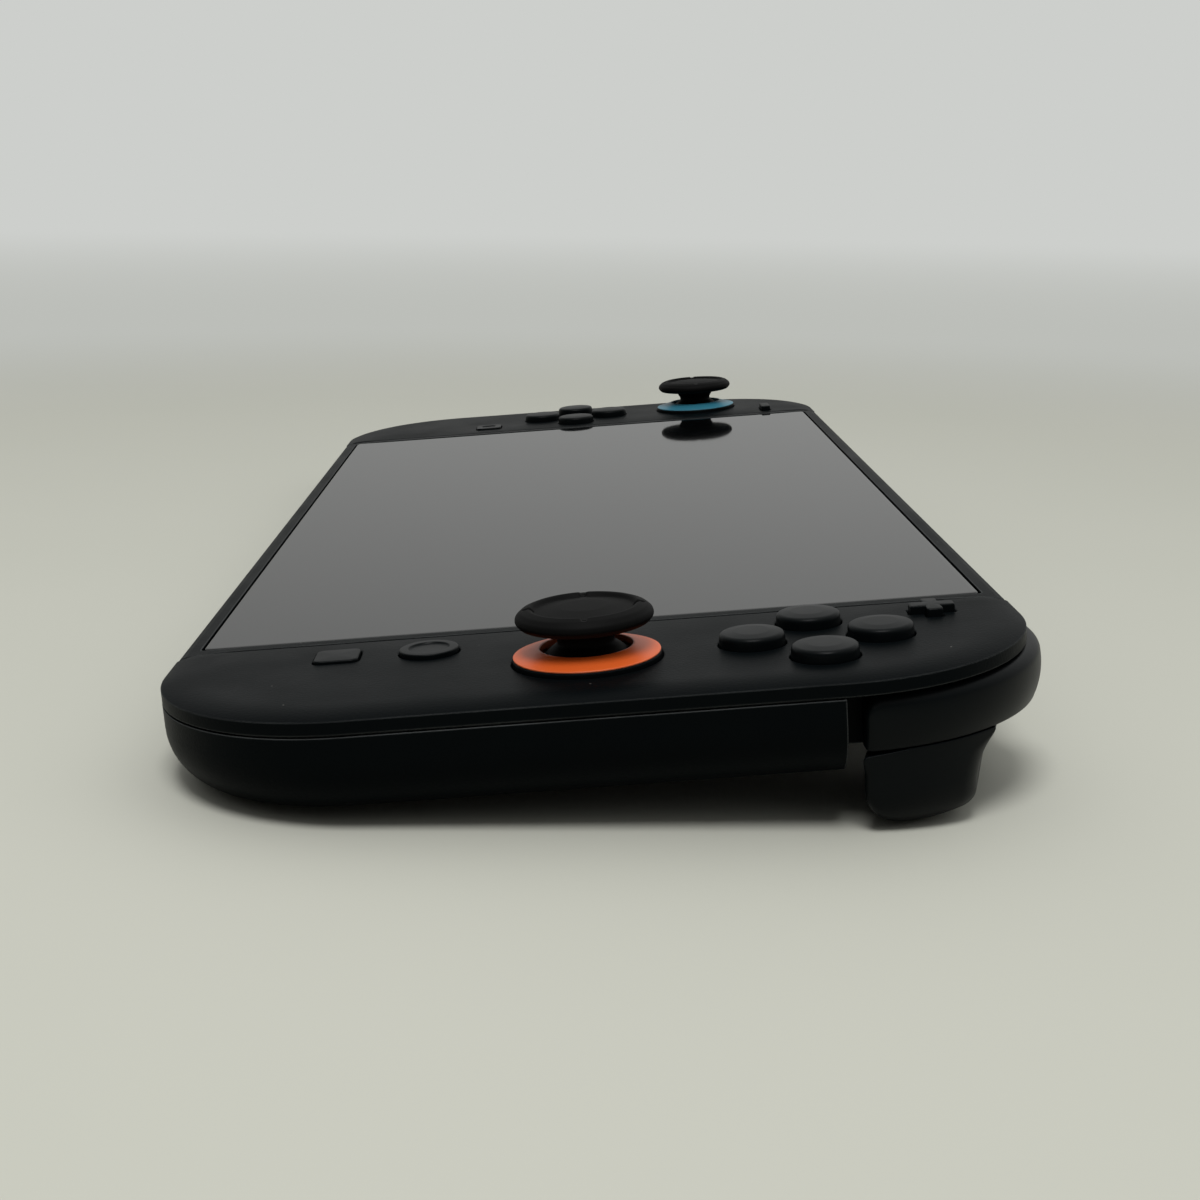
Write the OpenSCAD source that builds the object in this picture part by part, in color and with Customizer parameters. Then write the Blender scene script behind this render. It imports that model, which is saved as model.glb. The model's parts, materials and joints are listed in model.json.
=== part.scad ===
// Handheld game console: a tablet with a glass front and a folding rear stand, and two controllers that
// pull off its ends. Millimetres. Each piece is drawn level, with the front face at z = 0, x along the
// length and y towards the top edge, and is then laid on the table as it rests: on the rear rounding of
// its bottom edge and on the two triggers.

/* [Overall] */
// Length of the console with both controllers on
console_len = 272; // [260:0.5:284]
// Height of the console, bottom edge to top edge
console_h = 116; // [112:0.5:122]
// Thickness of the body without sticks and triggers
body_t = 13.9; // [13.5:0.1:15]
// Width of a controller without its rail
controller_w = 35.2; // [34.5:0.1:38]
// Plan radius of the outer corners
corner_r = 27; // [26:0.25:28.5]
// Rounding behind the controllers' edges
rear_r = 8; // [7:0.25:8.4]
// Rounding behind the tablet's long edges
tablet_rear_r = 3.5; // [2:0.25:5]
// Depth of the line where front and rear shells meet
seam_z = 2.6; // [2.4:0.1:3]
// Gap between tablet and controller
dock_gap = 0.3; // [0.2:0.05:0.5]

/* [Walls] */
// Wall of the moulded shells
wall = 1.6; // [1.3:0.1:1.8]
// Plate thickness of the controller's face
face_t = 1.7; // [1.5:0.1:1.8]
// Groove between front and rear shell
groove = 0.25; // [0.15:0.05:0.4]
// Drop of the controller's face at its rim
face_drop = 0.75; // [0.5:0.05:0.9]

/* [Screen] */
// Border of the tablet beside the cover glass
side_border = 2; // [1.8:0.1:7]
// Border of the tablet above and below the cover glass
edge_border = 3; // [2.5:0.1:6]
// Thickness of the cover glass
glass_t = 1.1; // [0.8:0.1:1.3]
// Gap round the cover glass
glass_gap = 0.25; // [0.15:0.05:0.4]
// Ledge under the cover glass
glass_ledge = 2.4; // [2:0.1:3]

/* [Sticks] */
// Distance of the stick's middle from the console's end
stick_in = 17.8; // [17:0.1:19]
// Height of the right stick above the middle line
right_stick_y = -0.8; // [-3:0.1:2]
// Height of the left stick above the middle line
left_stick_y = 29.7; // [27:0.1:30.5]
// Radius of the stick's cap
cap_r = 9.1; // [8.5:0.1:9.4]
// Height of the cap's rim above the face
cap_top = 7.9; // [7.4:0.1:8.6]
// Radius of the coloured ring
ring_r = 9.8; // [9.4:0.1:10.2]
// Radius of the ring's opening
ring_open_r = 6.1; // [5.9:0.05:6.3]
// Height of the ring's inner lip above the face
ring_lip = 1.8; // [1.5:0.05:1.9]
// Depth of the stick's pivot below the face
pivot_z = 4.6; // [4.4:0.1:4.8]
// Radius of the stick's hidden dome
dome_r = 7.2; // [7:0.05:7.25]
// Radius of the gimbal pins
gimbal_pin_r = 0.6; // [0.5:0.05:0.7]
// Radial clearance of pins that turn
pin_play = 0.05; // [0.03:0.01:0.08]

/* [Buttons] */
// Radius of a face button
button_r = 4.35; // [4.2:0.05:4.6]
// Height of a face button above the face
button_top = 1.8; // [1.6:0.1:2.2]
// Distance of the button cluster's middle from the console's end
button_in = 19.2; // [18.5:0.1:19.8]
// Distance of a face button from the middle of its cluster
cluster_r = 8.45; // [8.2:0.05:8.8]
// Height of the right cluster above the middle line
right_cluster_y = 29.3; // [28:0.1:30]
// Height of the left cluster above the middle line
left_cluster_y = -1; // [-3:0.1:2]
// Gap between a button and its hole
button_gap = 0.2; // [0.15:0.05:0.3]
// Travel of a face button
button_travel = 0.9; // [0.6:0.1:1]

/* [Shoulders] */
// Depth of the trigger's lowest point below the face
trigger_depth = 21.7; // [21.2:0.1:22.5]
// Rounding of the trigger's underside
trigger_low_r = 5.8; // [5.4:0.1:6.2]
// Radius of the trigger's pin
trigger_pin_r = 1; // [0.8:0.05:1.2]
// Radius of the shoulder button's pin
shoulder_pin_r = 0.9; // [0.7:0.05:1]
// Thickness of the shoulder button
shoulder_t = 3.5; // [3.3:0.1:3.7]

/* [Dock] */
// Length of the controller's rail
rail_len = 92; // [86:0.5:96]
// Width of the controller's rail
rail_w = 7.6; // [7:0.1:8]
// Height of the controller's rail
rail_h = 3.2; // [2.8:0.1:3.4]
// Gap all round the rail in its recess
rail_gap = 0.4; // [0.3:0.05:0.6]

/* [Stand] */
// Distance of the stand from the tablet's ends
stand_in = 14.5; // [12:0.5:20]
// Reach of the stand from its hinge to its foot
stand_reach = 43; // [38:0.5:46]
// Thickness of the stand
stand_t = 1.8; // [1.6:0.1:2]
// Width of the stand's arms and foot
stand_arm = 8; // [7:0.25:9]
// Radius of the stand's hinge eye
stand_eye_r = 1.9; // [1.8:0.05:2]
// Radius of the stand's pin
stand_pin_r = 0.75; // [0.6:0.05:0.9]

/* [Sockets] */
// Bore radius of the headphone socket
jack_r = 1.75; // [1.75:0.01:1.8]
// Depth of the headphone socket
jack_len = 14; // [13:0.5:15]
// Width of the cable socket
usb_w = 8.94; // [8.8:0.02:9.1]
// Height of the cable socket
usb_h = 3.26; // [3.2:0.02:3.4]
// Radius of the fan's rotor
fan_r = 14; // [12:0.25:15]

/* [Hidden] */
$fn = 64;
half_l = console_len / 2;
half_h = console_h / 2;
shell_x = half_l - controller_w;
tab_half = shell_x - dock_gap;
glass_len = 2 * (tab_half - side_border);
glass_h = console_h - 2 * edge_border;
corner_x = half_l - corner_r;
corner_y = half_h - corner_r;
stick_x = half_l - stick_in;
button_x = half_l - button_in;
plus_x = shell_x + 6.2;
plus_y = half_h - 11.7;
bar_len = 6.1;
bar_w = 2.1;
bar_top = 1.1;
key_r = 4;
key_w = 6;
key_corner = 1.2;
home_x = shell_x + 8.2;
home_y = -22.1;
chat_x = home_x - 0.5;
chat_y = -34.6;
capture_y = -22.9;
recess_d = rail_h + rail_gap;
dock_z = -7.2;
side_in = tab_half - recess_d - wall;
floor_z = -body_t + 1.8;
plate_z = seam_z + 0.2;
plate_t = 0.8;
glass_top = -0.1;
// trigger pocket and shoulder way in the rear shell
pocket_x = shell_x + 5.7;
pocket_y = corner_y - 0.7;
pocket_top = -9.9;
pocket_wall_r = corner_r - 4.5;
way_x = shell_x + 1.3;
room_y = right_cluster_y + cluster_r + 3;
release_x = shell_x + 15;
release_y = pocket_y - 14.3;
shoulder_x = corner_x - 2;
shoulder_y = corner_y + 1;
shoulder_out = corner_r + 1.3;
shoulder_in = shoulder_out - shoulder_t;
shoulder_mid_z = -6;
shoulder_low = -10.1;
shoulder_high = -seam_z - 0.4;
bulge_r = 10;
flush_r = shoulder_out - bulge_r + sqrt(pow(bulge_r, 2) - pow(shoulder_low - shoulder_mid_z, 2));
shoulder_pin_d = shoulder_in + shoulder_t / 2 - 0.2;
shoulder_pin_a = 10;
// the trigger's hinge line starts at the pocket's inner wall and runs outwards and down the console
trigger_turn = 15.7;
trigger_pin_y = half_h - 12;
trigger_pin_z = -8;
trigger_end_r = 6;
tip_x = shoulder_x + flush_r - trigger_end_r;
tip_y = trigger_pin_y - (tip_x - pocket_x) * tan(trigger_turn);
tip_z = -trigger_depth + trigger_low_r;
// tangent from the rear rounding at the bottom edge to the tip of the trigger
rest_dy = tip_y + half_h - rear_r;
rest_dz = -body_t + rear_r - tip_z;
rest_tilt = atan2(rest_dz, rest_dy) - asin((rear_r - trigger_low_r) / norm([rest_dy, rest_dz]));
rest_lift = (half_h - rear_r) * sin(rest_tilt) + (body_t - rear_r) * cos(rest_tilt) + rear_r;
bulge_y = shoulder_y + shoulder_out - bulge_r;
rest_high = bulge_y * cos(rest_tilt) - shoulder_mid_z * sin(rest_tilt) + bulge_r;
rest_low = half_h * cos(rest_tilt) - (face_drop + 0.45) * sin(rest_tilt);
stand_y = -half_h + 4.6 + stand_reach;
stand_w = 2 * (tab_half - stand_in);
stand_x = stand_w / 2 - stand_arm / 2;
stand_eye_z = -body_t + stand_eye_r;
screw_x = tab_half - 10.5;
screw_y = half_h - 7;
low_screw_y = 6;
speaker_x = tab_half - 35.7;
speaker_y = -half_h + 9.2;
jack_x = 20.5 - speaker_x;
socket_z = -7.2;
usb_deep = 7.3;
card_x = 26.5 - tab_half;
card_z = -7.4;
power_x = card_x + 28;
volume_x = power_x + 20;
key_y = half_h - 5.5;
key_z = -7;
// inner pieces of the tablet
board_x0 = 14;
board_x1 = 74;
board_y0 = -half_h + 20;
board_y1 = half_h - 46;
board_z = -8;
pack_x0 = 12 - stand_x;
pack_x1 = board_x0 - 4;
pack_y0 = -half_h + 19;
pack_y1 = half_h - 43;
fan_x = 46;
fan_y = half_h - 25;
fan_box = 38;
fan_t = 5.6;
fin_x = 6;
fin_y0 = half_h - 14;
fin_y1 = half_h - 2.5;

// laid on the table as it rests
module lie() {
    translate([0, (rest_low - rest_high) / 2, rest_lift]) rotate([rest_tilt, 0, 0]) children();
}

// flat drawings extruded along the length (drawing x is y) or along the height (drawing x is x)
module along_x(x0, x1) {
    translate([x0, 0, 0]) rotate([90, 0, 90]) linear_extrude(x1 - x0) children();
}

module along_y(y0, y1) {
    translate([0, y1, 0]) rotate([90, 0, 0]) linear_extrude(y1 - y0) children();
}

module round_rect(w, h, r) {
    square([w - 2 * r, h], center = true);
    square([w, h - 2 * r], center = true);
    for (sx = [-1, 1], sy = [-1, 1]) translate([sx * (w / 2 - r), sy * (h / 2 - r)]) circle(r);
}

module slab(w, h, t, r) {
    linear_extrude(t) round_rect(w, h, r);
}

// convex outline through circles given as [x, y, radius], in anticlockwise order
function tangent_side(p, q) =
    let (d = [q[0] - p[0], q[1] - p[1]], a = atan2(d[1], d[0]) - acos((p[2] - q[2]) / norm(d)))
    [cos(a), sin(a)];

module soft_poly(c) {
    n = len(c);
    polygon([for (i = [0 : n - 1], e = [0, 1])
        let (p = c[i], q = c[(i + 1) % n], t = tangent_side(p, q), o = e == 0 ? p : q)
        [o[0] + 0.999 * o[2] * t[0], o[1] + 0.999 * o[2] * t[1]]]);
    for (p = c) if (p[2] > 0) translate([p[0], p[1]]) circle(p[2]);
}

module block(x0, x1, y0, y1, z0, z1) {
    translate([x0, y0, z0]) cube([x1 - x0, y1 - y0, z1 - z0]);
}

// a part of the right controller shown on the left
module left_side() {
    mirror([1, 0, 0]) children();
}

// tablet

module housing_section(inset) {
    r = tablet_rear_r - min(inset, tablet_rear_r - 1);
    h = half_h - inset;
    low = -body_t + (inset > 0 ? 1.8 : 0);
    translate([-h, low + r]) square([2 * h, -seam_z - low - r]);
    translate([-h + r, low]) square([2 * h - 2 * r, r + 1]);
    for (s = [-1, 1]) translate([s * (h - r), low + r]) circle(r);
}

module stand_plan(extra) {
    bar_y = stand_y - stand_reach;
    translate([-stand_w / 2 - extra, bar_y - extra]) square([stand_w + 2 * extra, stand_arm + 2 * extra]);
    for (s = [-1, 1])
        translate([s * stand_x - stand_arm / 2 - extra, bar_y]) square([stand_arm + 2 * extra, stand_reach]);
}

module at_screws() {
    for (s = [-1, 1], y = [screw_y, low_screw_y]) translate([s * screw_x, y, 0]) children();
}

module at_board_posts() {
    for (x = [board_x0 + 6, board_x1 - 4], y = [board_y0 + 4, board_y1 - 4]) translate([x, y, 0]) children();
}

module rear_housing() {
    color("#1d1f20") difference() {
        union() {
            difference() {
                along_x(-tab_half, tab_half) housing_section(0);
                along_x(-side_in, side_in) housing_section(wall);
                // seat of the inner plate
                block(-side_in - 1, side_in + 1, -half_h + wall - 0.5, half_h - wall + 0.5,
                    -plate_z - plate_t, 0);
            }
            // thickening over the stand's recess and hinge pockets
            translate([0, 0, floor_z - 0.5]) linear_extrude(2.2) stand_plan(1.6);
            for (s = [-1, 1])
                block(s * stand_x - 7.5, s * stand_x + 7.5, stand_y - 5, stand_y + 10.5, floor_z - 0.5, -8.4);
            // screw bosses
            at_screws() translate([0, 0, floor_z - 0.5])
                cylinder(h = -plate_z - plate_t - floor_z + 0.5, r = 2.6);
            // posts under the board
            at_board_posts() translate([0, 0, floor_z - 0.5]) cylinder(h = board_z - floor_z + 0.5, r = 2);
            // post of the volume rocker
            translate([volume_x, key_y, floor_z - 0.5]) {
                cylinder(h = key_z + 1.4 - floor_z + 0.5, r = 0.7);
                cylinder(h = key_z - 1.4 - floor_z + 0.5, r = 1.6);
            }
        }
        // stand recess, hinge pockets and pin holes
        translate([0, 0, -body_t - 1]) linear_extrude(1 + stand_t + 0.3) stand_plan(0.3);
        for (s = [-1, 1]) {
            block(s * stand_x - stand_arm / 2 - 0.3, s * stand_x + stand_arm / 2 + 0.3, stand_y - 2.3,
                stand_y + 7.6, -body_t - 1, -body_t + 2 * stand_eye_r + 0.3);
            translate([s * stand_x - 6.5, stand_y, stand_eye_z]) rotate([0, 90, 0])
                cylinder(h = 13, r = stand_pin_r + 0.02);
        }
        // rails of the controllers
        for (s = [-1, 1])
            translate([s * (tab_half + 1), 0, dock_z]) rotate([0, -s * 90, 0])
                slab(rail_w + 2 * rail_gap, rail_len + 2 * rail_gap, 1 + recess_d, 2);
        // sockets in the long edges
        for (s = [-1, 1])
            translate([0, s * half_h, socket_z]) cube([usb_w + 0.3, 8, usb_h + 0.3], center = true);
        translate([jack_x, -half_h - 1, socket_z]) rotate([-90, 0, 0]) cylinder(h = 5, r = 2.7);
        translate([card_x, half_h, card_z]) cube([25.4, 8, 4.4], center = true);
        translate([power_x, half_h + 1, key_z]) rotate([90, 0, 0]) cylinder(h = 5, r = 2.6);
        translate([volume_x, half_h, key_z]) cube([17, 8, 3.3], center = true);
        // air outlet along the top edge
        for (i = [0 : 8])
            translate([fan_x + 6.5 * (i - 4), half_h, socket_z]) cube([4.6, 8, 3], center = true);
        // speaker slots along the bottom edge
        for (s = [-1, 1], i = [0 : 4])
            translate([s * (speaker_x + 4.4 * (i - 2)), -half_h, socket_z])
                cube([2.4, 8, 1.6], center = true);
        // air inlet behind the fan
        for (i = [-3 : 3])
            translate([fan_x + 4 * i, fan_y, -body_t]) cube([1.6, 20, 8], center = true);
        // screw holes
        at_screws() translate([0, 0, -body_t - 1]) {
            cylinder(h = 10, r = 0.85);
            cylinder(h = 2, r = 1.8);
        }
    }
}

module bezel_frame() {
    win_l = glass_len - 2 * glass_ledge;
    win_h = glass_h - 2 * glass_ledge;
    color("#202223") difference() {
        // the controllers' edge carried on along the tablet
        for (s = [0, 1]) mirror([0, s, 0])
            along_x(-tab_half, tab_half) translate([corner_y, 0]) edge("front", -corner_y);
        translate([0, 0, glass_top - glass_t])
            slab(glass_len + 2 * glass_gap, glass_h + 2 * glass_gap, 5, 1.4);
        translate([0, 0, -5]) slab(win_l, win_h, 8, 1);
    }
}

module display_glass() {
    color("#0b0c0d") translate([0, 0, glass_top - glass_t]) slab(glass_len, glass_h, glass_t, 1.2);
}

module display_panel() {
    color("#16181a") translate([0, 0, -plate_z])
        slab(glass_len - 2 * glass_ledge - 0.6, glass_h - 2 * glass_ledge - 0.6,
            plate_z + glass_top - glass_t, 1);
}

module mid_plate() {
    color("#9a9da0") difference() {
        translate([0, 0, -plate_z - plate_t])
            slab(2 * side_in + 1.6, console_h - 2 * wall + 0.6, plate_t, 2);
        for (x = [-60, 0, 60]) translate([x, -10, -8]) slab(30, 40, 8, 3);
        at_screws() translate([0, 0, -8]) cylinder(h = 8, r = 0.85);
    }
}

module main_board() {
    color("#1f4a34") {
        difference() {
            block(board_x0, board_x1, board_y0, board_y1, board_z, board_z + 1);
            at_board_posts() translate([0, 0, board_z - 1]) cylinder(h = 3, r = 1.1);
        }
        // chips
        translate([board_x0, (board_y0 + board_y1) / 2, board_z + 0.9]) {
            block(22, 44, -9, 13, 0, 1.3);
            block(48, 56, -9, 5, 0, 1.1);
            block(4, 16, -15, -1, 0, 0.9);
        }
        block(board_x0 + 10, board_x0 + 30, board_y0 + 1, board_y0 + 8, board_z + 0.9, board_z + 2.4);
    }
}

module heat_sink() {
    color("#b4764a") {
        chip_y = (board_y0 + board_y1) / 2 + 2;
        pipe_z = board_z + 2.2;
        block(board_x0 + 20, board_x0 + 46, chip_y - 13, chip_y + 13, pipe_z, pipe_z + 0.9);
        block(board_x0 + 1, board_x0 + 22, chip_y + 7, chip_y + 13, pipe_z, pipe_z + 0.9);
        block(board_x0, board_x0 + 6.5, chip_y + 7, fin_y0 + 1, pipe_z, pipe_z + 0.9);
        block(fin_x, fin_x + 19, fin_y0, fin_y1, pipe_z, pipe_z + 0.9);
        for (i = [0 : 8])
            block(fin_x + 1.3 + 2 * i, fin_x + 1.7 + 2 * i, fin_y0, fin_y1, pipe_z - 5, pipe_z + 0.1);
        block(fin_x, fin_x + 19, fin_y0, fin_y1, pipe_z - 5.4, pipe_z - 4.9);
    }
}

module fan_housing() {
    color("#2a2c2e") difference() {
        union() {
            translate([fan_x, fan_y, floor_z]) slab(fan_box, fan_box, fan_t, 4);
            block(fan_x - fan_box / 2, fan_x + fan_box / 2, fan_y, half_h - tablet_rear_r - 0.3,
                floor_z, floor_z + fan_t);
        }
        translate([fan_x, fan_y, floor_z + 0.8]) cylinder(h = 4, r = fan_r + 1.5);
        block(fan_x - 14, fan_x + 14, fan_y, half_h, floor_z + 0.8, floor_z + 4.8);
        translate([fan_x, fan_y, -8]) cylinder(h = 4, r = fan_r - 2);
        for (i = [-3 : 3]) translate([fan_x + 4 * i, fan_y, floor_z]) cube([1.6, 20, 4], center = true);
    }
    // spindle
    color("#2a2c2e") translate([fan_x, fan_y, floor_z + 0.4]) cylinder(h = 4, r = 1);
    color("#2a2c2e") block(fan_x - 0.9, fan_x + 0.9, fan_y - 15, fan_y + 15, floor_z, floor_z + 0.9);
}

module fan_rotor() {
    z0 = floor_z + 1.3;
    color("#34373a") difference() {
        union() {
            translate([fan_x, fan_y, z0]) cylinder(h = 3.2, r = 6.5);
            for (a = [0 : 20 : 340])
                translate([fan_x, fan_y, z0]) rotate([0, 0, a]) translate([5.8, -0.4, 0]) rotate([0, 0, 24])
                    cube([fan_r - 6.4, 0.8, 3]);
        }
        translate([fan_x, fan_y, z0 - 1]) cylinder(h = 6, r = 1 + pin_play);
    }
}

module battery_pack() {
    color("#3b3d40") {
        translate([(pack_x0 + pack_x1) / 2, (pack_y0 + pack_y1) / 2, floor_z])
            slab(pack_x1 - pack_x0, pack_y1 - pack_y0, 5.2, 2);
        block(pack_x1 - 30, pack_x1 - 2, pack_y1 - 0.5, pack_y1 + 3, floor_z, floor_z + 2);
    }
}

module speakers() {
    color("#17191a") for (s = [-1, 1]) {
        translate([s * speaker_x, speaker_y, floor_z + 1.7]) slab(24, 15, 5.4, 2);
    }
}

module card_reader() {
    color("#8f9396") difference() {
        block(card_x - 13, card_x + 13, half_h - 28, half_h - wall - 1.4, -10.4, -4.8);
        block(card_x - 11.2, card_x + 11.2, half_h - 27, half_h, card_z - 1.7, card_z + 1.7);
    }
    color("#8f9396") block(card_x - 13, card_x + 13, half_h - 26, half_h - 14, floor_z, -10.3);
}

module card_door() {
    color("#1d1f20") {
        translate([card_x, half_h - 1.3, card_z]) rotate([-90, 0, 0]) slab(24.8, 3.6, 1.2, 0.4);
        translate([card_x - 12.4, half_h - 0.7, card_z - 1.2]) rotate([0, 90, 0]) cylinder(h = 24.8, r = 0.6);
        block(card_x - 3, card_x + 3, half_h - 0.2, half_h + 0.25, card_z + 0.7, card_z + 1.4);
    }
}

module audio_jack() {
    color("#6d7073") difference() {
        union() {
            translate([jack_x, -half_h + 0.2, socket_z]) rotate([-90, 0, 0]) cylinder(h = jack_len, r = 2.6);
            block(jack_x - 3.4, jack_x + 3.4, -half_h + wall + 0.2, -half_h + jack_len + 0.8, socket_z - 3.1,
                socket_z + 3);
        }
        translate([jack_x, -half_h - 0.1, socket_z]) rotate([-90, 0, 0])
            cylinder(h = jack_len + 0.3, r = jack_r);
    }
}

module usb_ports() {
    color("#a8abad") for (s = [0, 180]) rotate([0, 0, s]) {
        difference() {
            translate([0, -half_h + 0.2, socket_z]) rotate([-90, 0, 0]) slab(usb_w, usb_h, usb_deep, 1.55);
            translate([0, -half_h - 0.2, socket_z]) rotate([-90, 0, 0])
                slab(usb_w - 0.6, usb_h - 0.6, usb_deep - 0.4, 1.25);
        }
        block(-3.3, 3.3, -half_h + 1.2, -half_h + usb_deep + 0.1, socket_z - 0.35, socket_z + 0.35);
    }
}

module power_button() {
    color("#26282a") translate([power_x, half_h - 3, key_z]) rotate([-90, 0, 0]) {
        cylinder(h = 3.4, r = 2.4);
        cylinder(h = 1.1, r = 3);
    }
}

module volume_rocker() {
    color("#26282a") difference() {
        union() {
            translate([volume_x, half_h - 2.6, key_z]) rotate([-90, 0, 0]) slab(16, 2.8, 3, 1.2);
            block(volume_x - 2, volume_x + 2, key_y, half_h - 2.5, key_z - 1.2, key_z + 1.2);
            translate([volume_x, key_y, key_z - 1.2]) cylinder(h = 2.4, r = 2);
        }
        translate([volume_x, key_y, key_z - 3]) cylinder(h = 6, r = 0.7 + pin_play);
    }
}

module rail_docks() {
    for (s = [-1, 1]) {
        // contact tongue in the recess
        tongue_x = s * (tab_half - recess_d + 1.3);
        color("#c9a45a") block(tongue_x - 1.3, tongue_x + 1.3, -7, 7, dock_z - 1.2, dock_z + 1.2);
        // magnets behind the recess
        color("#8c8f92") for (y = [-28, 28])
            translate([s * (side_in - 1.25), y, dock_z]) cube([2.5, 16, 6], center = true);
    }
}

module kickstand() {
    color("#232526") difference() {
        union() {
            translate([0, 0, -body_t]) linear_extrude(stand_t) stand_plan(0);
            for (s = [-1, 1])
                translate([s * stand_x - stand_arm / 2, stand_y, stand_eye_z]) rotate([0, 90, 0])
                    cylinder(h = stand_arm, r = stand_eye_r);
        }
        for (s = [-1, 1]) {
            translate([s * stand_x - 7, stand_y, stand_eye_z]) rotate([0, 90, 0])
                cylinder(h = 14, r = stand_pin_r + pin_play);
        }
        // finger notches in the foot
        for (s = [-1, 1])
            translate([s * 30, stand_y - stand_reach - 1, -body_t - 1]) slab(16, 4, 3, 1.2);
    }
}

module kickstand_pins() {
    color("#a0a3a6") for (s = [-1, 1])
        translate([s * stand_x - 6.4, stand_y, stand_eye_z]) rotate([0, 90, 0])
            cylinder(h = 12.8, r = stand_pin_r);
}

module housing_screws() {
    color("#5c5f62") at_screws() translate([0, 0, -body_t + 0.1]) difference() {
        union() {
            cylinder(h = 0.9, r = 1.6);
            cylinder(h = 8.4, r = 0.8);
        }
        for (a = [0, 120, 240]) rotate([0, 0, a]) translate([-0.18, -0.2, -0.5]) cube([0.36, 1.1, 0.9]);
    }
}

// controllers: everything below is drawn for the right one

function front_edge(rho) = [[rho, -seam_z], [corner_r, -seam_z], [corner_r, -face_drop - 0.45],
    [corner_r - 0.3, -face_drop], [corner_r - 1.2, -face_drop * 0.55], [corner_r - 4, -face_drop * 0.16],
    [corner_r - 9, 0], [rho, 0]];

module rear_edge(rho, inset) {
    r = rear_r - inset;
    out = corner_r - inset;
    low = -body_t + inset;
    translate([rho, low + r]) square([out - rho, -seam_z - (inset > 0 ? 0 : groove) - low - r]);
    translate([rho, low]) square([out - r - rho, -seam_z - low]);
    translate([out - r, low + r]) intersection() {
        circle(r);
        translate([0, -r]) square(r);
    }
    if (inset == 0) translate([rho, low + r]) square([out - 0.6 - rho, -seam_z - low - r]);
}

module edge(kind, rho) {
    if (kind == "front") polygon(front_edge(rho));
    if (kind == "rear") rear_edge(rho, 0);
    if (kind == "hollow") rear_edge(rho, wall);
}

// an edge drawing carried along the outer end, round both corners and along the long edges
module shell_sweep(kind, x0) {
    for (s = [0, 1]) mirror([0, s, 0]) {
        translate([corner_x, corner_y, 0]) rotate_extrude(angle = 90) intersection() {
            edge(kind, 0);
            translate([0, -50]) square([corner_r + 1, 60]);
        }
        along_x(x0, corner_x) translate([corner_y, 0]) edge(kind, -corner_y);
        translate([corner_x, 0, 0]) along_y(0, corner_y) edge(kind, 0);
    }
}

module outline(inset, x0) {
    r = corner_r - inset;
    translate([x0, -half_h + inset]) square([corner_x - x0, console_h - 2 * inset]);
    translate([corner_x, -corner_y]) square([r, 2 * corner_y]);
    for (s = [-1, 1]) translate([corner_x, s * corner_y]) circle(r);
}

module at_stick(y) {
    translate([stick_x, y, 0]) children();
}

module at_buttons(y) {
    for (a = [0 : 90 : 270])
        translate([button_x + cluster_r * cos(a), y + cluster_r * sin(a), 0]) children();
}

// along the trigger's hinge line, with the level of the face kept
module at_trigger_line() {
    translate([pocket_x, trigger_pin_y, 0]) rotate([0, 0, -trigger_turn]) children();
}

module at_shoulder_pin() {
    translate([shoulder_x + shoulder_pin_d * cos(shoulder_pin_a),
        shoulder_y + shoulder_pin_d * sin(shoulder_pin_a), 0]) children();
}

module front_shell(stick_y, cluster_y, right) {
    difference() {
        shell_sweep("front", shell_x);
        translate([0, 0, -seam_z - 1]) linear_extrude(seam_z + 1 - face_t) outline(wall, shell_x + wall);
        at_stick(stick_y) translate([0, 0, -5]) cylinder(h = 8, r = ring_r + 0.15);
        at_buttons(cluster_y) translate([0, 0, -5]) cylinder(h = 8, r = button_r + button_gap);
        translate([plus_x, plus_y, -5]) cross_bar(right, button_gap, 8);
        if (right) {
            translate([home_x, home_y, -5]) cylinder(h = 8, r = key_r + button_gap);
            translate([chat_x, chat_y, -5]) key_hole();
        } else {
            translate([home_x, capture_y, -5]) key_hole();
        }
    }
    at_shoulder_pin() translate([0, 0, -9.6]) cylinder(h = 8.6, r = shoulder_pin_r);
}

module key_hole() {
    slab(key_w + 2 * button_gap, key_w + 2 * button_gap, 8, key_corner + button_gap);
}

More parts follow.
